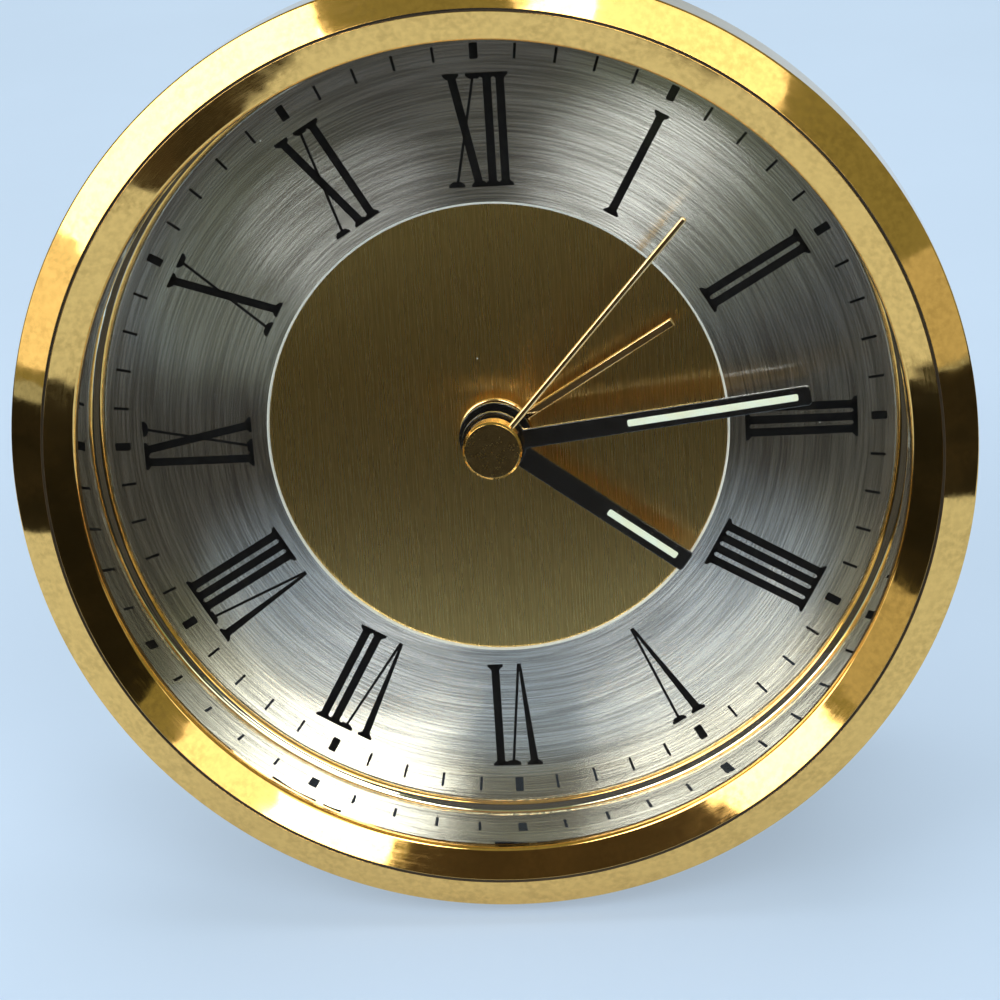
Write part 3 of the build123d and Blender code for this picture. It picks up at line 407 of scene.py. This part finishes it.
def rounded_bar(half_width, bottom, top, corner):
    """Upright bar with rounded corners, counter-clockwise from its lower right."""
    return (
        arc((half_width - corner, bottom + corner), corner, -90.0, 0.0, CORNER_STEP)
        + arc((half_width - corner, top - corner), corner, 0.0, 90.0, CORNER_STEP)
        + arc((corner - half_width, top - corner), corner, 90.0, 180.0, CORNER_STEP)
        + arc((corner - half_width, bottom + corner), corner, 180.0, 270.0, CORNER_STEP)
    )


def hand_outline(hub_radius, half_width, length, corner):
    """Round hub with a baton that runs up to its rounded end."""
    foot = math.degrees(math.asin(half_width / hub_radius))
    return (
        arc((half_width - corner, length - corner), corner, 0.0, 90.0, CORNER_STEP)
        + arc((corner - half_width, length - corner), corner, 90.0, 180.0, CORNER_STEP)
        + arc((0.0, 0.0), hub_radius, 90.0 + foot, 450.0 - foot, HUB_STEP)
    )


def clockwise(angle):
    """Place on the dial's axis, turned clockwise from 12 o'clock."""
    return DIAL @ Matrix.Rotation(-math.radians(angle), 4, "Z")


# Shader building

def node(tree, kind, inputs=None, output=0, **settings):
    """New shader node: inputs are values or sockets, settings are its properties. Gives one output."""
    made = tree.nodes.new(kind)
    for key, value in settings.items():
        setattr(made, key, value)
    for key, value in (inputs or {}).items():
        if isinstance(value, bpy.types.NodeSocket):
            tree.links.new(value, made.inputs[key])
        else:
            made.inputs[key].default_value = value
    return made.outputs[output]


def math_node(tree, operation, first, second):
    return node(tree, "ShaderNodeMath", {0: first, 1: second}, operation=operation)


def local_place(tree):
    """Place on the piece, in metres along its own axes."""
    return node(tree, "ShaderNodeTexCoord", output="Object")


def noise(tree, place, scale, detail=3.0):
    return node(tree, "ShaderNodeTexNoise", {"Vector": place, "Scale": scale, "Detail": detail})


def level(tree, value, low, high, to_low=0.0, to_high=1.0):
    """Value between two limits, stretched to another range."""
    limits = {"Value": value, "From Min": low, "From Max": high, "To Min": to_low, "To Max": to_high}
    return node(tree, "ShaderNodeMapRange", limits, interpolation_type="SMOOTHSTEP")


def tint(tree, factor, first, second):
    """Colour between two, each a colour or a socket."""
    colours = [(*c, 1.0) if isinstance(c, tuple) else c for c in (first, second)]
    return node(tree, "ShaderNodeMix", {0: factor, 6: colours[0], 7: colours[1]}, output=2, data_type="RGBA")


def stretched(tree, place, scale):
    return node(tree, "ShaderNodeVectorMath", {0: place, 1: scale}, operation="MULTIPLY")


def outward(tree, place):
    """Unit direction away from the piece's own upright axis."""
    flat = stretched(tree, place, FLAT)
    return node(tree, "ShaderNodeVectorMath", {0: flat}, operation="NORMALIZE")


def circled(tree, place, across, along):
    """Place for grain that runs in circles: fine across the circles, slow along them."""
    flat = stretched(tree, place, FLAT)
    distance = node(tree, "ShaderNodeVectorMath", {0: flat}, output="Value", operation="LENGTH")
    height = node(tree, "ShaderNodeSeparateXYZ", {0: place}, output="Z")
    fine = math_node(tree, "MULTIPLY", math_node(tree, "ADD", distance, height), across)
    slow = node(tree, "ShaderNodeVectorMath", {0: outward(tree, place), "Scale": along}, operation="SCALE")
    lift = node(tree, "ShaderNodeCombineXYZ", {"Z": fine})
    return node(tree, "ShaderNodeVectorMath", {0: slow, 1: lift}, operation="ADD")


def bumped(tree, shader, height, strength, distance):
    normal = node(tree, "ShaderNodeBump", {"Height": height, "Strength": strength, "Distance": distance})
    tree.links.new(normal, shader.inputs["Normal"])


def new_surface(name, **values):
    """Material with a Principled shader whose even values are set on its own sockets."""
    surface = bpy.data.materials.new(name)
    surface.use_nodes = True
    tree = surface.node_tree
    shader = tree.nodes["Principled BSDF"]
    for key, value in values.items():
        shader.inputs[key.replace("_", " ")].default_value = value
    return surface, tree, shader


def feed(tree, shader, socket, value):
    tree.links.new(value, shader.inputs[socket])


def turned_metal(name, colour, stain, gloss, haze_depth):
    """Polished turned metal: fine circular marks, slight waviness, and a haze of fine specks in clouds."""
    surface, tree, shader = new_surface(name, Metallic=1.0)
    place = local_place(tree)
    marks = noise(tree, circled(tree, place, *TURNED_MARKS), 1.0, 1.0)
    clouds = level(tree, noise(tree, place, CLOUD_SCALE, 4.0), *CLOUD_RANGE)
    specks = level(tree, noise(tree, place, SPECK_SCALE, 6.0), *SPECK_RANGE)
    haze = math_node(tree, "MULTIPLY", specks, clouds)
    feed(tree, shader, "Base Color", tint(tree, math_node(tree, "MULTIPLY", haze, haze_depth), colour, stain))
    even = level(tree, marks, *NOISE_MIDDLE, gloss, gloss * TURNED_SPREAD)
    added = haze_depth * HAZE_ROUGHNESS
    rough = node(tree, "ShaderNodeMath", {0: haze, 1: added, 2: even}, operation="MULTIPLY_ADD")
    feed(tree, shader, "Roughness", rough)
    bumped(tree, shader, noise(tree, place, CLOUD_SCALE, 1.0), *TURNED_BUMP)
    return surface


def circle_brushed(name, colour, dull, roughness, grain, axis=None):
    """Metal brushed in circles about the piece's own axis, or about another one.
    Its gloss spreads square to the brushing."""
    surface, tree, shader = new_surface(name, Metallic=1.0, Anisotropic=1.0)
    place = local_place(tree)
    if axis:
        back = axis.inverted()
        shift = {"Vector": place, "Location": back.to_translation(), "Rotation": back.to_euler()}
        place = node(tree, "ShaderNodeMapping", shift)
    lines = noise(tree, circled(tree, place, grain, LINE_RUN), 1.0, 2.0)
    broad = noise(tree, circled(tree, place, grain / BROAD_WIDTH, BROAD_RUN), 1.0, 1.0)
    fine_part = math_node(tree, "MULTIPLY", lines, LINE_SHARE)
    broad_part = math_node(tree, "MULTIPLY", broad, BROAD_SHARE)
    streaks = math_node(tree, "ADD", fine_part, broad_part)
    feed(tree, shader, "Base Color", tint(tree, level(tree, streaks, *STREAK_RANGE), dull, colour))
    feed(tree, shader, "Roughness", level(tree, broad, *NOISE_MIDDLE, roughness, roughness * 1.1))
    out_and_up = {0: outward(tree, place), 1: (0.0, 0.0, 1.0)}
    across = node(tree, "ShaderNodeVectorMath", out_and_up, operation="ADD")
    if axis:
        turn = {"Vector": across, "Rotation": axis.to_euler()}
        across = node(tree, "ShaderNodeMapping", turn, vector_type="VECTOR")
    across = node(tree, "ShaderNodeVectorTransform", {0: across}, vector_type="VECTOR",
                  convert_from="OBJECT", convert_to="WORLD")
    feed(tree, shader, "Tangent", across)
    bumped(tree, shader, streaks, *CIRCLE_BUMP)
    return surface


def straight_brushed(name, colour, dull, roughness, grain):
    """Metal brushed up and down: its gloss spreads sideways."""
    surface, tree, shader = new_surface(name, Metallic=1.0, Anisotropic=0.8)
    place = local_place(tree)
    lines = noise(tree, stretched(tree, place, (grain, grain / STRAIGHT_RUN, grain)), 1.0, 3.0)
    feed(tree, shader, "Base Color", tint(tree, level(tree, lines, *NOISE_MIDDLE), dull, colour))
    feed(tree, shader, "Roughness", level(tree, lines, *NOISE_MIDDLE, roughness * 1.2, roughness))
    sideways = node(tree, "ShaderNodeVectorTransform", {0: (1.0, 0.0, 0.0)}, vector_type="VECTOR",
                    convert_from="OBJECT", convert_to="WORLD")
    feed(tree, shader, "Tangent", sideways)
    bumped(tree, shader, lines, *STRAIGHT_BUMP)
    return surface


def moulded(name, colour, pale, roughness, grain_depth, grain_scale=GRAIN_SCALE):
    """Moulded plastic or rubber: fine texture, slightly uneven tone and handling gloss."""
    surface, tree, shader = new_surface(name)
    place = local_place(tree)
    grain = noise(tree, place, grain_scale, 3.0)
    wear = noise(tree, place, WEAR_SCALE, 4.0)
    feed(tree, shader, "Base Color", tint(tree, level(tree, wear, *WEAR_RANGE), colour, pale))
    feed(tree, shader, "Roughness", level(tree, wear, *NOISE_MIDDLE, roughness * 1.15, roughness * 0.85))
    bumped(tree, shader, grain, GRAIN_STRENGTH, grain_depth)
    return surface


def plain_metal(name, colour, stain, roughness):
    """Small plated or drawn metal piece: faint streaks and smudges."""
    surface, tree, shader = new_surface(name, Metallic=1.0)
    place = local_place(tree)
    streaks = noise(tree, stretched(tree, place, DRAWN_SCALE), 1.0, 3.0)
    smudges = noise(tree, place, SMUDGE_SCALE, 4.0)
    feed(tree, shader, "Base Color", tint(tree, level(tree, smudges, *SMUDGE_RANGE), colour, stain))
    feed(tree, shader, "Roughness", level(tree, streaks, *NOISE_MIDDLE, roughness * 0.8, roughness * 1.4))
    bumped(tree, shader, streaks, *DRAWN_BUMP)
    return surface


def gloss_paint(name, colour, worn):
    """Gloss paint with orange peel and a trace of dust."""
    surface, tree, shader = new_surface(name, Coat_Weight=1.0, Coat_Roughness=0.06)
    place = local_place(tree)
    dust = level(tree, noise(tree, place, PAINT_DUST_SCALE, 1.0), *PAINT_DUST_RANGE)
    peel = noise(tree, place, PEEL_SCALE, 2.0)
    feed(tree, shader, "Base Color", tint(tree, dust, colour, worn))
    feed(tree, shader, "Roughness", level(tree, peel, *NOISE_MIDDLE, 0.18, 0.26))
    bumped(tree, shader, peel, *PEEL_BUMP)
    return surface


def matte_ink(name, colour, thin):
    """Printed ink: nearly matte, with slightly thin patches."""
    surface, tree, shader = new_surface(name, Specular_IOR_Level=0.08)
    place = local_place(tree)
    patches = noise(tree, place, INK_PATCH_SCALE, 2.0)
    feed(tree, shader, "Base Color", tint(tree, level(tree, patches, *INK_PATCH_RANGE), colour, thin))
    feed(tree, shader, "Roughness", level(tree, patches, *NOISE_MIDDLE, 0.5, 0.65))
    return surface


def chalky(name, colour, aged):
    """Luminous paint: grainy, matte and a little yellowed in places."""
    surface, tree, shader = new_surface(name)
    place = local_place(tree)
    grain = noise(tree, place, CHALK_SCALE, 3.0)
    age = noise(tree, place, AGE_SCALE, 3.0)
    feed(tree, shader, "Base Color", tint(tree, level(tree, age, *AGE_RANGE), colour, aged))
    feed(tree, shader, "Roughness", level(tree, grain, *NOISE_MIDDLE, 0.65, 0.9))
    bumped(tree, shader, grain, *CHALK_BUMP)
    return surface


def clear_glass(name):
    """Thin clear glass: light goes straight through, gloss by angle on the way in, a few specks of dust."""
    surface, tree, shader = new_surface(name)
    tree.nodes.remove(shader)
    place = local_place(tree)
    clear = node(tree, "ShaderNodeBsdfTransparent", {"Color": GLASS_TINT})
    gloss = node(tree, "ShaderNodeBsdfGlossy", {"Roughness": GLASS_ROUGHNESS})
    leaving = node(tree, "ShaderNodeNewGeometry", output="Backfacing")
    entering = math_node(tree, "SUBTRACT", 1.0, leaving)
    angle = node(tree, "ShaderNodeFresnel", {"IOR": GLASS_INDEX})
    mirrored = math_node(tree, "MULTIPLY", angle, entering)
    pane = node(tree, "ShaderNodeMixShader", {0: mirrored, 1: clear, 2: gloss})
    spots = tree.nodes.new("ShaderNodeTexVoronoi")
    spots.inputs["Scale"].default_value = DUST_SCALE
    tree.links.new(place, spots.inputs["Vector"])
    rare = math_node(tree, "POWER", spots.outputs["Color"], DUST_RARITY)
    size = math_node(tree, "MULTIPLY", rare, DUST_SIZE)
    inside = math_node(tree, "LESS_THAN", spots.outputs["Distance"], size)
    dust = math_node(tree, "MULTIPLY", inside, DUST_COVER)
    speck = node(tree, "ShaderNodeBsdfDiffuse", {"Color": DUST_COLOUR})
    whole = node(tree, "ShaderNodeMixShader", {0: dust, 1: pane, 2: speck})
    tree.links.new(whole, tree.nodes["Material Output"].inputs["Surface"])
    return surface


SURFACE_TABLE = {
    "polished_brass": (turned_metal, (0.95, 0.57, 0.17), (0.42, 0.24, 0.06), 0.035, 0.42),
    "mirror_brass": (turned_metal, (0.98, 0.95, 0.82), (0.90, 0.82, 0.58), 0.02, 0.04),
    # The near-black colour of the crest groove is painted shade.
    "groove_painted_shade": (moulded, (0.030, 0.018, 0.008), (0.060, 0.038, 0.016), 0.6, 0.00002),
    "brushed_gold": (straight_brushed, (0.86, 0.62, 0.24), (0.62, 0.43, 0.15), 0.26, 7000.0),
    "brushed_silver": (circle_brushed, (0.95, 0.94, 0.92), (0.55, 0.54, 0.52), 0.235, 7000.0),
    # The pale grey of the chapter ring's rounded inner edge is a painted highlight.
    "edge_painted_highlight": (moulded, (0.70, 0.70, 0.68), (0.80, 0.79, 0.75), 0.3, 0.00001),
    "satin_brass": (circle_brushed, (0.80, 0.58, 0.24), (0.62, 0.43, 0.16), 0.36, 3800.0, DIAL),
    "strut_brass": (straight_brushed, (0.80, 0.58, 0.24), (0.60, 0.42, 0.16), 0.30, 4200.0),
    "hand_gold": (plain_metal, (0.96, 0.70, 0.36), (0.80, 0.54, 0.24), 0.06),
    # The cap's darker gold is painted shade for the dark reflection of the front; its specks are patina.
    "cap_gold_painted_shade": (turned_metal, (0.46, 0.33, 0.14), (0.16, 0.11, 0.04), 0.16, 0.5),
    "hand_black": (gloss_paint, (0.005, 0.005, 0.006), (0.10, 0.09, 0.08)),
    "lume": (chalky, (0.88, 0.94, 0.80), (0.90, 0.91, 0.70)),
    "black_ink": (matte_ink, (0.002, 0.002, 0.003), (0.006, 0.006, 0.006)),
    "crystal_glass": (clear_glass,),
    "black_rubber": (moulded, (0.02, 0.02, 0.02), (0.04, 0.038, 0.036), 0.75, 0.0001),
    "black_plastic": (moulded, (0.018, 0.018, 0.019), (0.035, 0.034, 0.033), 0.45, 0.00008),
    "red_plastic": (moulded, (0.50, 0.03, 0.02), (0.58, 0.06, 0.04), 0.30, 0.00004),
    "white_plastic": (moulded, (0.78, 0.78, 0.75), (0.84, 0.83, 0.80), 0.45, 0.00005),
    "wheel_plastic": (moulded, (0.80, 0.77, 0.66), (0.86, 0.84, 0.76), 0.35, 0.00003),
    "magnet": (moulded, (0.07, 0.07, 0.08), (0.12, 0.12, 0.13), 0.6, 0.00005),
    "board_green": (moulded, (0.02, 0.16, 0.07), (0.03, 0.22, 0.10), 0.35, 0.00003, 900.0),
    "chip_black": (moulded, (0.015, 0.015, 0.016), (0.03, 0.03, 0.03), 0.5, 0.00004),
    "battery_jacket": (moulded, (0.07, 0.09, 0.13), (0.10, 0.12, 0.16), 0.3, 0.00002, 700.0),
    "screw_steel": (plain_metal, (0.60, 0.60, 0.61), (0.38, 0.37, 0.36), 0.28),
    "copper_wire": (plain_metal, (0.72, 0.32, 0.16), (0.45, 0.18, 0.08), 0.3),
    "buzzer_brass": (plain_metal, (0.78, 0.58, 0.26), (0.55, 0.40, 0.18), 0.3),
}
surfaces = {name: maker(name, *values) for name, (maker, *values) in SURFACE_TABLE.items()}


def dress_cad_nodes():
    """Give every CAD node the surface of its slot in the record, and the strut its own straight brushing."""
    for entry in frame["record"]["subparts"]:
        piece = frame["nodes"][entry["node"]]
        name = "strut_brass" if entry["node"] == "stand_strut" else entry["material_slot"]
        piece.data.materials.clear()
        piece.data.materials.append(surfaces[name])


# Case and dial

def add_bezel():
    """Bevelled ring with a fine groove on its crest, painted near black as shade, and a rolled lip over the glass.
    """
    lip_radius, radius, back, crest = measure("bezel")
    crystal_edge = measure("crystal")[1]
    crystal_front = measure("crystal")[3]
    gasket_back = measure("crystal_gasket")[2]
    half_groove = GROOVE_WIDTH / 2
    corners = [
        (BORE_RADIUS, back, 0.0),
        (radius - BACK_CHAMFER, back, BACK_CHAMFER / 4),
        (radius, back + BACK_CHAMFER, BACK_CHAMFER / 4),
        (radius, EDGE_HEIGHT, EDGE_ROUND),
        (CREST_RADIUS + half_groove, crest, GROOVE_ROUND),
        (CREST_RADIUS, crest - GROOVE_DEPTH, GROOVE_ROUND),
        (CREST_RADIUS - half_groove, crest, GROOVE_ROUND),
        (lip_radius, LIP_HEIGHT, LIP_ROUND),
        (lip_radius, crystal_front, 0.0),
        (crystal_edge, crystal_front, 0.0),
        (crystal_edge, gasket_back, 0.0),
        (BORE_RADIUS, gasket_back, 0.0),
    ]
    # The groove is painted near black: painted shade in the recess.
    groove = ("groove_painted_shade", CREST_RADIUS - half_groove, CREST_RADIUS + half_groove)
    turned("turned_bezel", corners, "clock_body", "polished_brass", ("bezel",), accent=groove)


def add_crystal():
    """Flat glass under the lip."""
    radius, back, front = measure("crystal")[1:]
    corners = [(0.0, back, 0.0), (radius, back, PANE_ROUND), (radius, front, PANE_ROUND), (0.0, front, 0.0)]
    turned("crystal_pane", corners, "clock_body", "crystal_glass", ("crystal",))


def add_reflector():
    """Slightly crowned mirror wall that rises to the lip, on a gold bead."""
    foot, outer, bottom, top = measure("reflector_ring")
    under_lip = measure("crystal")[3] - RIM_GAP
    rim = WALL_TOP_RADIUS + RIM_WIDTH
    corners = [
        (foot, bottom, 0.0),
        (foot, FOOT_HEIGHT, BEAD_ROUND),
        (WALL_FOOT_RADIUS, FOOT_HEIGHT, 0.0),
        (*WALL_WAIST, WALL_CROWN),
        (WALL_TOP_RADIUS, under_lip, 0.0),
        (rim, under_lip, 0.0),
        (rim, top, 0.0),
        (outer, top, 0.0),
        (outer, bottom, 0.0),
    ]
    bead = ("polished_brass", foot, WALL_WAIST[0])
    turned("mirror_reflector", corners, "clock_body", "mirror_brass", ("reflector_ring",), accent=bead)


def add_dial():
    """Brushed gold plate under the silver chapter ring with its pale inner edge, a painted highlight."""
    hole, radius, back, front = measure("dial_plate")
    corners = [(hole, back, 0.0), (radius, back, 0.0), (radius, front, 0.0), (hole, front, PLATE_ROUND)]
    turned("gold_dial", corners, "clock_body", "brushed_gold", ("dial_plate",))
    inner, outer, bottom, face = measure("chapter_ring")
    corners = [
        (inner, bottom, 0.0),
        (outer, bottom, 0.0),
        (outer, face - RING_CHAMFER, PLATE_ROUND),
        (outer - RING_CHAMFER, face, PLATE_ROUND),
        (inner, face, RING_EDGE_ROUND),
    ]
    # The pale rounded inner edge is a painted highlight.
    edge = ("edge_painted_highlight", inner, inner + RING_EDGE_ROUND)
    turned("silver_ring", corners, "clock_body", "brushed_silver", ("chapter_ring",), accent=edge)


def serif(x, outer, inner_sign, half_stem):
    """Flat bar across a stroke's end, bracketed into the stroke."""
    reach = half_stem + SERIF_OVERHANG
    thick = outer + inner_sign * SERIF_THICKNESS
    bracket = outer + inner_sign * SERIF_BRACKET
    shape = [
        (x - reach, outer), (x + reach, outer), (x + reach, thick),
        (x + half_stem, bracket), (x - half_stem, bracket), (x - reach, thick),
    ]
    return shape if inner_sign > 0 else shape[::-1]


def stroke(bottom_x, top_x, bottom_width, top_width):
    """Straight stroke from the foot line to the head line."""
    return [
        (bottom_x - bottom_width / 2, NUMERAL_BOTTOM), (bottom_x + bottom_width / 2, NUMERAL_BOTTOM),
        (top_x + top_width / 2, NUMERAL_TOP), (top_x - top_width / 2, NUMERAL_TOP),
    ]


def letter(kind, x):
    """Strokes of one roman numeral letter whose middle is at x."""
    half = STEM_WIDTH / 2
    thin = THIN_WIDTH / 2
    left, right = x - DIAGONAL_REACH, x + DIAGONAL_REACH
    if kind == "I":
        return [
            stroke(x, x, STEM_WIDTH, STEM_WIDTH),
            serif(x, NUMERAL_BOTTOM, 1, half), serif(x, NUMERAL_TOP, -1, half),
        ]
    if kind == "V":
        return [
            stroke(x - thin, left, THIN_WIDTH, STEM_WIDTH), stroke(x, right, THIN_WIDTH, THIN_WIDTH),
            serif(left, NUMERAL_TOP, -1, half), serif(right, NUMERAL_TOP, -1, half),
        ]
    return [
        stroke(right, left, STEM_WIDTH, STEM_WIDTH), stroke(left, right, THIN_WIDTH, THIN_WIDTH),
        serif(left, NUMERAL_TOP, -1, half), serif(right, NUMERAL_TOP, -1, half),
        serif(left, NUMERAL_BOTTOM, 1, half), serif(right, NUMERAL_BOTTOM, 1, half),
    ]


def numeral_strokes(text):
    """Strokes of a numeral, centred on its hour."""
    half_widths = [STEM_PITCH / 2 if kind == "I" else DIAGONAL_REACH + STEM_PITCH / 2 for kind in text]
    x = -sum(half_widths)
    strokes = []
    for kind, half_width in zip(text, half_widths):
        x += half_width
        strokes.extend(letter(kind, x))
        x += half_width
    return strokes


def turned_outline(outline, angle):
    """Outline turned clockwise about the dial's centre."""
    cos, sin = math.cos(math.radians(angle)), math.sin(math.radians(angle))
    return [(x * cos + y * sin, y * cos - x * sin) for x, y in outline]


def add_print():
    """Roman numerals, hour marks and minute marks in black ink on the chapter ring."""
    face = measure("chapter_ring")[3]
    outlines = []
    for hour, text in enumerate(NUMERALS):
        outlines.extend(turned_outline(shape, hour * HOUR_TURN) for shape in numeral_strokes(text))
    for minute in range(MINUTES):
        if minute % MINUTES_IN_HOUR_STEP:
            mark = rounded_bar(MINUTE_MARK_WIDTH / 2, *MINUTE_MARK_SPAN, MINUTE_MARK_ROUND)
        else:
            mark = rounded_bar(HOUR_MARK_WIDTH / 2, *HOUR_MARK_SPAN, HOUR_MARK_ROUND)
        outlines.append(turned_outline(mark, minute * MINUTE_TURN))
    ink = joined(plate_mesh(outline, [], face, face + INK_HEIGHT, 0.0) for outline in outlines)
    add_piece("dial_print", ink, "clock_body", "hand_black", surface="black_ink")


def add_baton(kind, size, lume):
    """Black baton hand with its hub, a bare metal back and a raised lume strip."""
    width, hub_radius = size
    node_name = kind + "_hand"
    body = kind + "_group"
    bore, length, back, front = measure(node_name)
    outline = hand_outline(hub_radius, width / 2, length, BATON_CORNER)
    place = clockwise(HAND_ANGLES[kind])
    shape = plate_mesh(outline, [circle(bore)], back, front, HAND_BEVEL)
    normals, faces = shape[1:]
    bare = ("hand_gold", [i for i, face in enumerate(faces) if normals[face[0]][2] < 0])
    add_piece(kind + "_baton", shape, body, "hand_black", (node_name,), place, accents=bare)
    lume_width, low, high = lume
    strip = rounded_bar(lume_width / 2, low * length, high * length, LUME_CORNER)
    shape = plate_mesh(strip, [], front - HAND_BEVEL, front + LUME_BEVEL / 2, LUME_BEVEL)
    add_piece(kind + "_lume_strip", shape, body, "lume", (node_name + "_lume",), place)


def add_alarm_hand():
    """Slim gold pointer with its hub."""
    bore, length, back, front = measure("alarm_hand")
    outline = hand_outline(ALARM_HUB_RADIUS, ALARM_WIDTH / 2, length, HAND_BEVEL)
    shape = plate_mesh(outline, [circle(bore)], back, front, ALARM_BEVEL)
    place = clockwise(HAND_ANGLES["alarm"])
    add_piece("alarm_pointer", shape, "alarm_group", "hand_gold", ("alarm_hand",), place)


def add_second_hand():
    """Gold needle, and the round cap with its centre dot and bright rim; the darker gold of the cap's top is
    painted shade.
    """
    start, length, back, front = measure("second_hand")
    outline = rounded_bar(NEEDLE_WIDTH / 2, start, length, NEEDLE_BEVEL)
    shape = plate_mesh(outline, [], back, front, NEEDLE_BEVEL)
    place = clockwise(HAND_ANGLES["second"])
    add_piece("second_needle", shape, "second_group", "hand_gold", ("second_hand",), place)
    radius, bottom, top = measure("second_hand_cap")[1:]
    corners = [
        (radius - CAP_BEVEL, bottom, 0.0),
        (radius, bottom + CAP_BEVEL, CAP_BEVEL / 3),
        (radius, top - CAP_BEVEL, CAP_BEVEL / 3),
        (radius - CAP_BEVEL, top, CAP_BEVEL / 3),
        (CAP_DOT_RADIUS, top, 0.0),
        (CAP_DOT_RADIUS, top - CAP_DOT_DEPTH, 0.0),
        (0.0, top - CAP_DOT_DEPTH, 0.0),
        (0.0, bottom, 0.0),
    ]
    rim = ("polished_brass", radius - CAP_RIM_WIDTH, radius)
    # The cap's top is painted darker gold as shade, and its rim keeps the polished brass.
    turned("second_cap", corners, "second_group", "hand_gold", ("second_hand_cap",), "cap_gold_painted_shade", rim)


# Studio

def aimed(azimuth, elevation, distance):
    """Place of a lamp that looks at the dial's centre."""
    turn, rise = math.radians(azimuth), math.radians(elevation)
    away = Vector((math.sin(turn) * math.cos(rise), -math.cos(turn) * math.cos(rise), math.sin(rise)))
    look = away.to_track_quat("Z", "Y").to_matrix().to_4x4()
    return Matrix.Translation(DIAL.translation + away * distance) @ look


def add_softbox(name, azimuth, elevation, width, height, radiance, distance):
    """Rectangular lamp of an even radiance that the camera does not see."""
    lamp = bpy.data.lights.new(name, "AREA")
    lamp.shape = "RECTANGLE"
    lamp.size = width
    lamp.size_y = height
    lamp.energy = radiance * math.pi * width * height
    holder = bpy.data.objects.new(name, lamp)
    bpy.context.scene.collection.objects.link(holder)
    holder.matrix_world = aimed(azimuth, elevation, distance)
    holder.visible_camera = False
    return holder


def add_softboxes():
    """Soft lamps at a plain level, and the brighter panels that only gloss shows."""
    for name, box in SOFTBOXES.items():
        add_softbox(name, *box, SOFTBOX_DISTANCE).visible_glossy = False
    for name, box in PANELS.items():
        add_softbox(name, *box, PANEL_DISTANCE).visible_diffuse = False


def stage_piece(name, points, faces, surface):
    """Piece of the studio, in metres."""
    mesh = bpy.data.meshes.new(name)
    mesh.from_pydata(points, [], faces)
    mesh.materials.append(surface)
    piece = bpy.data.objects.new(name, mesh)
    bpy.context.scene.collection.objects.link(piece)
    return piece


def add_floor():
    """Pale floor: it glows a little where it is seen, and keeps the shadow."""
    half = FLOOR_SIZE / 2
    floor, tree, shader = new_surface("pale_floor", Roughness=0.7)
    paper = noise(tree, local_place(tree), PAPER_SCALE, 4.0)
    shade = tuple(c * PAPER_SHADE for c in FLOOR_COLOUR)
    pale = tint(tree, level(tree, paper, *NOISE_MIDDLE), FLOOR_COLOUR, shade)
    feed(tree, shader, "Base Color", pale)
    path = tree.nodes.new("ShaderNodeLightPath")
    seen = math_node(tree, "MAXIMUM", path.outputs["Is Camera Ray"], path.outputs["Is Glossy Ray"])
    glow = node(tree, "ShaderNodeEmission", {"Color": pale, "Strength": 1.0})
    share = math_node(tree, "MULTIPLY", seen, FLOOR_GLOW)
    mixed = node(tree, "ShaderNodeMixShader", {0: share, 1: shader.outputs[0], 2: glow})
    tree.links.new(mixed, tree.nodes["Material Output"].inputs["Surface"])
    corners = [(-half, -half, 0.0), (half, -half, 0.0), (half, half, 0.0), (-half, half, 0.0)]
    stage_piece("floor", corners, [(0, 1, 2, 3)], floor)


def front_arc(radius, start, end):
    """Arc on the floor in front of the clock between two azimuths."""
    return arc((0.0, 0.0), radius, start - 90.0, end - 90.0, CARD_STEP)


def add_reflected(name, points, surface):
    """Strip through pairs of points that only reflections see."""
    faces = [(i, i + 2, i + 3, i + 1) for i in range(0, len(points) - 2, 2)]
    card = stage_piece(name, points, faces, surface)
    card.visible_camera = False
    card.visible_diffuse = False
    card.visible_shadow = False


def add_cards():
    """Curved cards that stand in front for the metal to show, and an apron on the floor before them."""
    dark = moulded("dark_card", (0.010, 0.009, 0.008), (0.022, 0.017, 0.013), *CARD_GRAIN)
    brown = moulded("brown_card", (0.075, 0.055, 0.042), (0.10, 0.072, 0.052), *CARD_GRAIN)
    for cards, surface in ((DARK_CARDS, dark), (BROWN_CARDS, brown)):
        for name, (start, end, height) in cards.items():
            foot = front_arc(CARD_RADIUS, start, end)
            add_reflected(name, [(x, y, z) for x, y in foot for z in (CARD_FOOT, height)], surface)
    start, end, near = APRON
    edges = zip(front_arc(near, start, end), front_arc(CARD_RADIUS, start, end))
    add_reflected("card_apron", [(x, y, CARD_FOOT) for pair in edges for x, y in pair], dark)


def add_world():
    """Even dim light from all round, and a pale backdrop for the camera itself."""
    world = bpy.data.worlds.new("studio")
    world.use_nodes = True
    tree = world.node_tree
    background = tree.nodes["Background"]
    background.inputs["Strength"].default_value = 1.0
    seen = node(tree, "ShaderNodeLightPath", output="Is Camera Ray")
    tree.links.new(tint(tree, seen, WORLD_COLOUR, BACKDROP_COLOUR), background.inputs["Color"])
    bpy.context.scene.world = world


def add_camera():
    """Camera at its place in the dial's frame."""
    turn = Vector(CAMERA_TURN)
    into_camera = Matrix.Rotation(math.radians(turn.length), 4, turn.normalized())
    lens = bpy.data.cameras.new("camera")
    lens.lens = CAMERA_LENS
    lens.sensor_width = CAMERA_SENSOR
    holder = bpy.data.objects.new("camera", lens)
    bpy.context.scene.collection.objects.link(holder)
    holder.matrix_world = DIAL @ Matrix.Translation(Vector(CAMERA_AT) * MM) @ into_camera.transposed()
    bpy.context.scene.camera = holder


dress_cad_nodes()
add_bezel()
add_crystal()
add_reflector()
add_dial()
add_print()
add_alarm_hand()
add_baton("hour", HOUR_BATON, HOUR_LUME)
add_baton("minute", MINUTE_BATON, MINUTE_LUME)
add_second_hand()
add_softboxes()
add_floor()
add_cards()
add_world()
add_camera()
bpy.context.scene.view_settings.view_transform = "Standard"
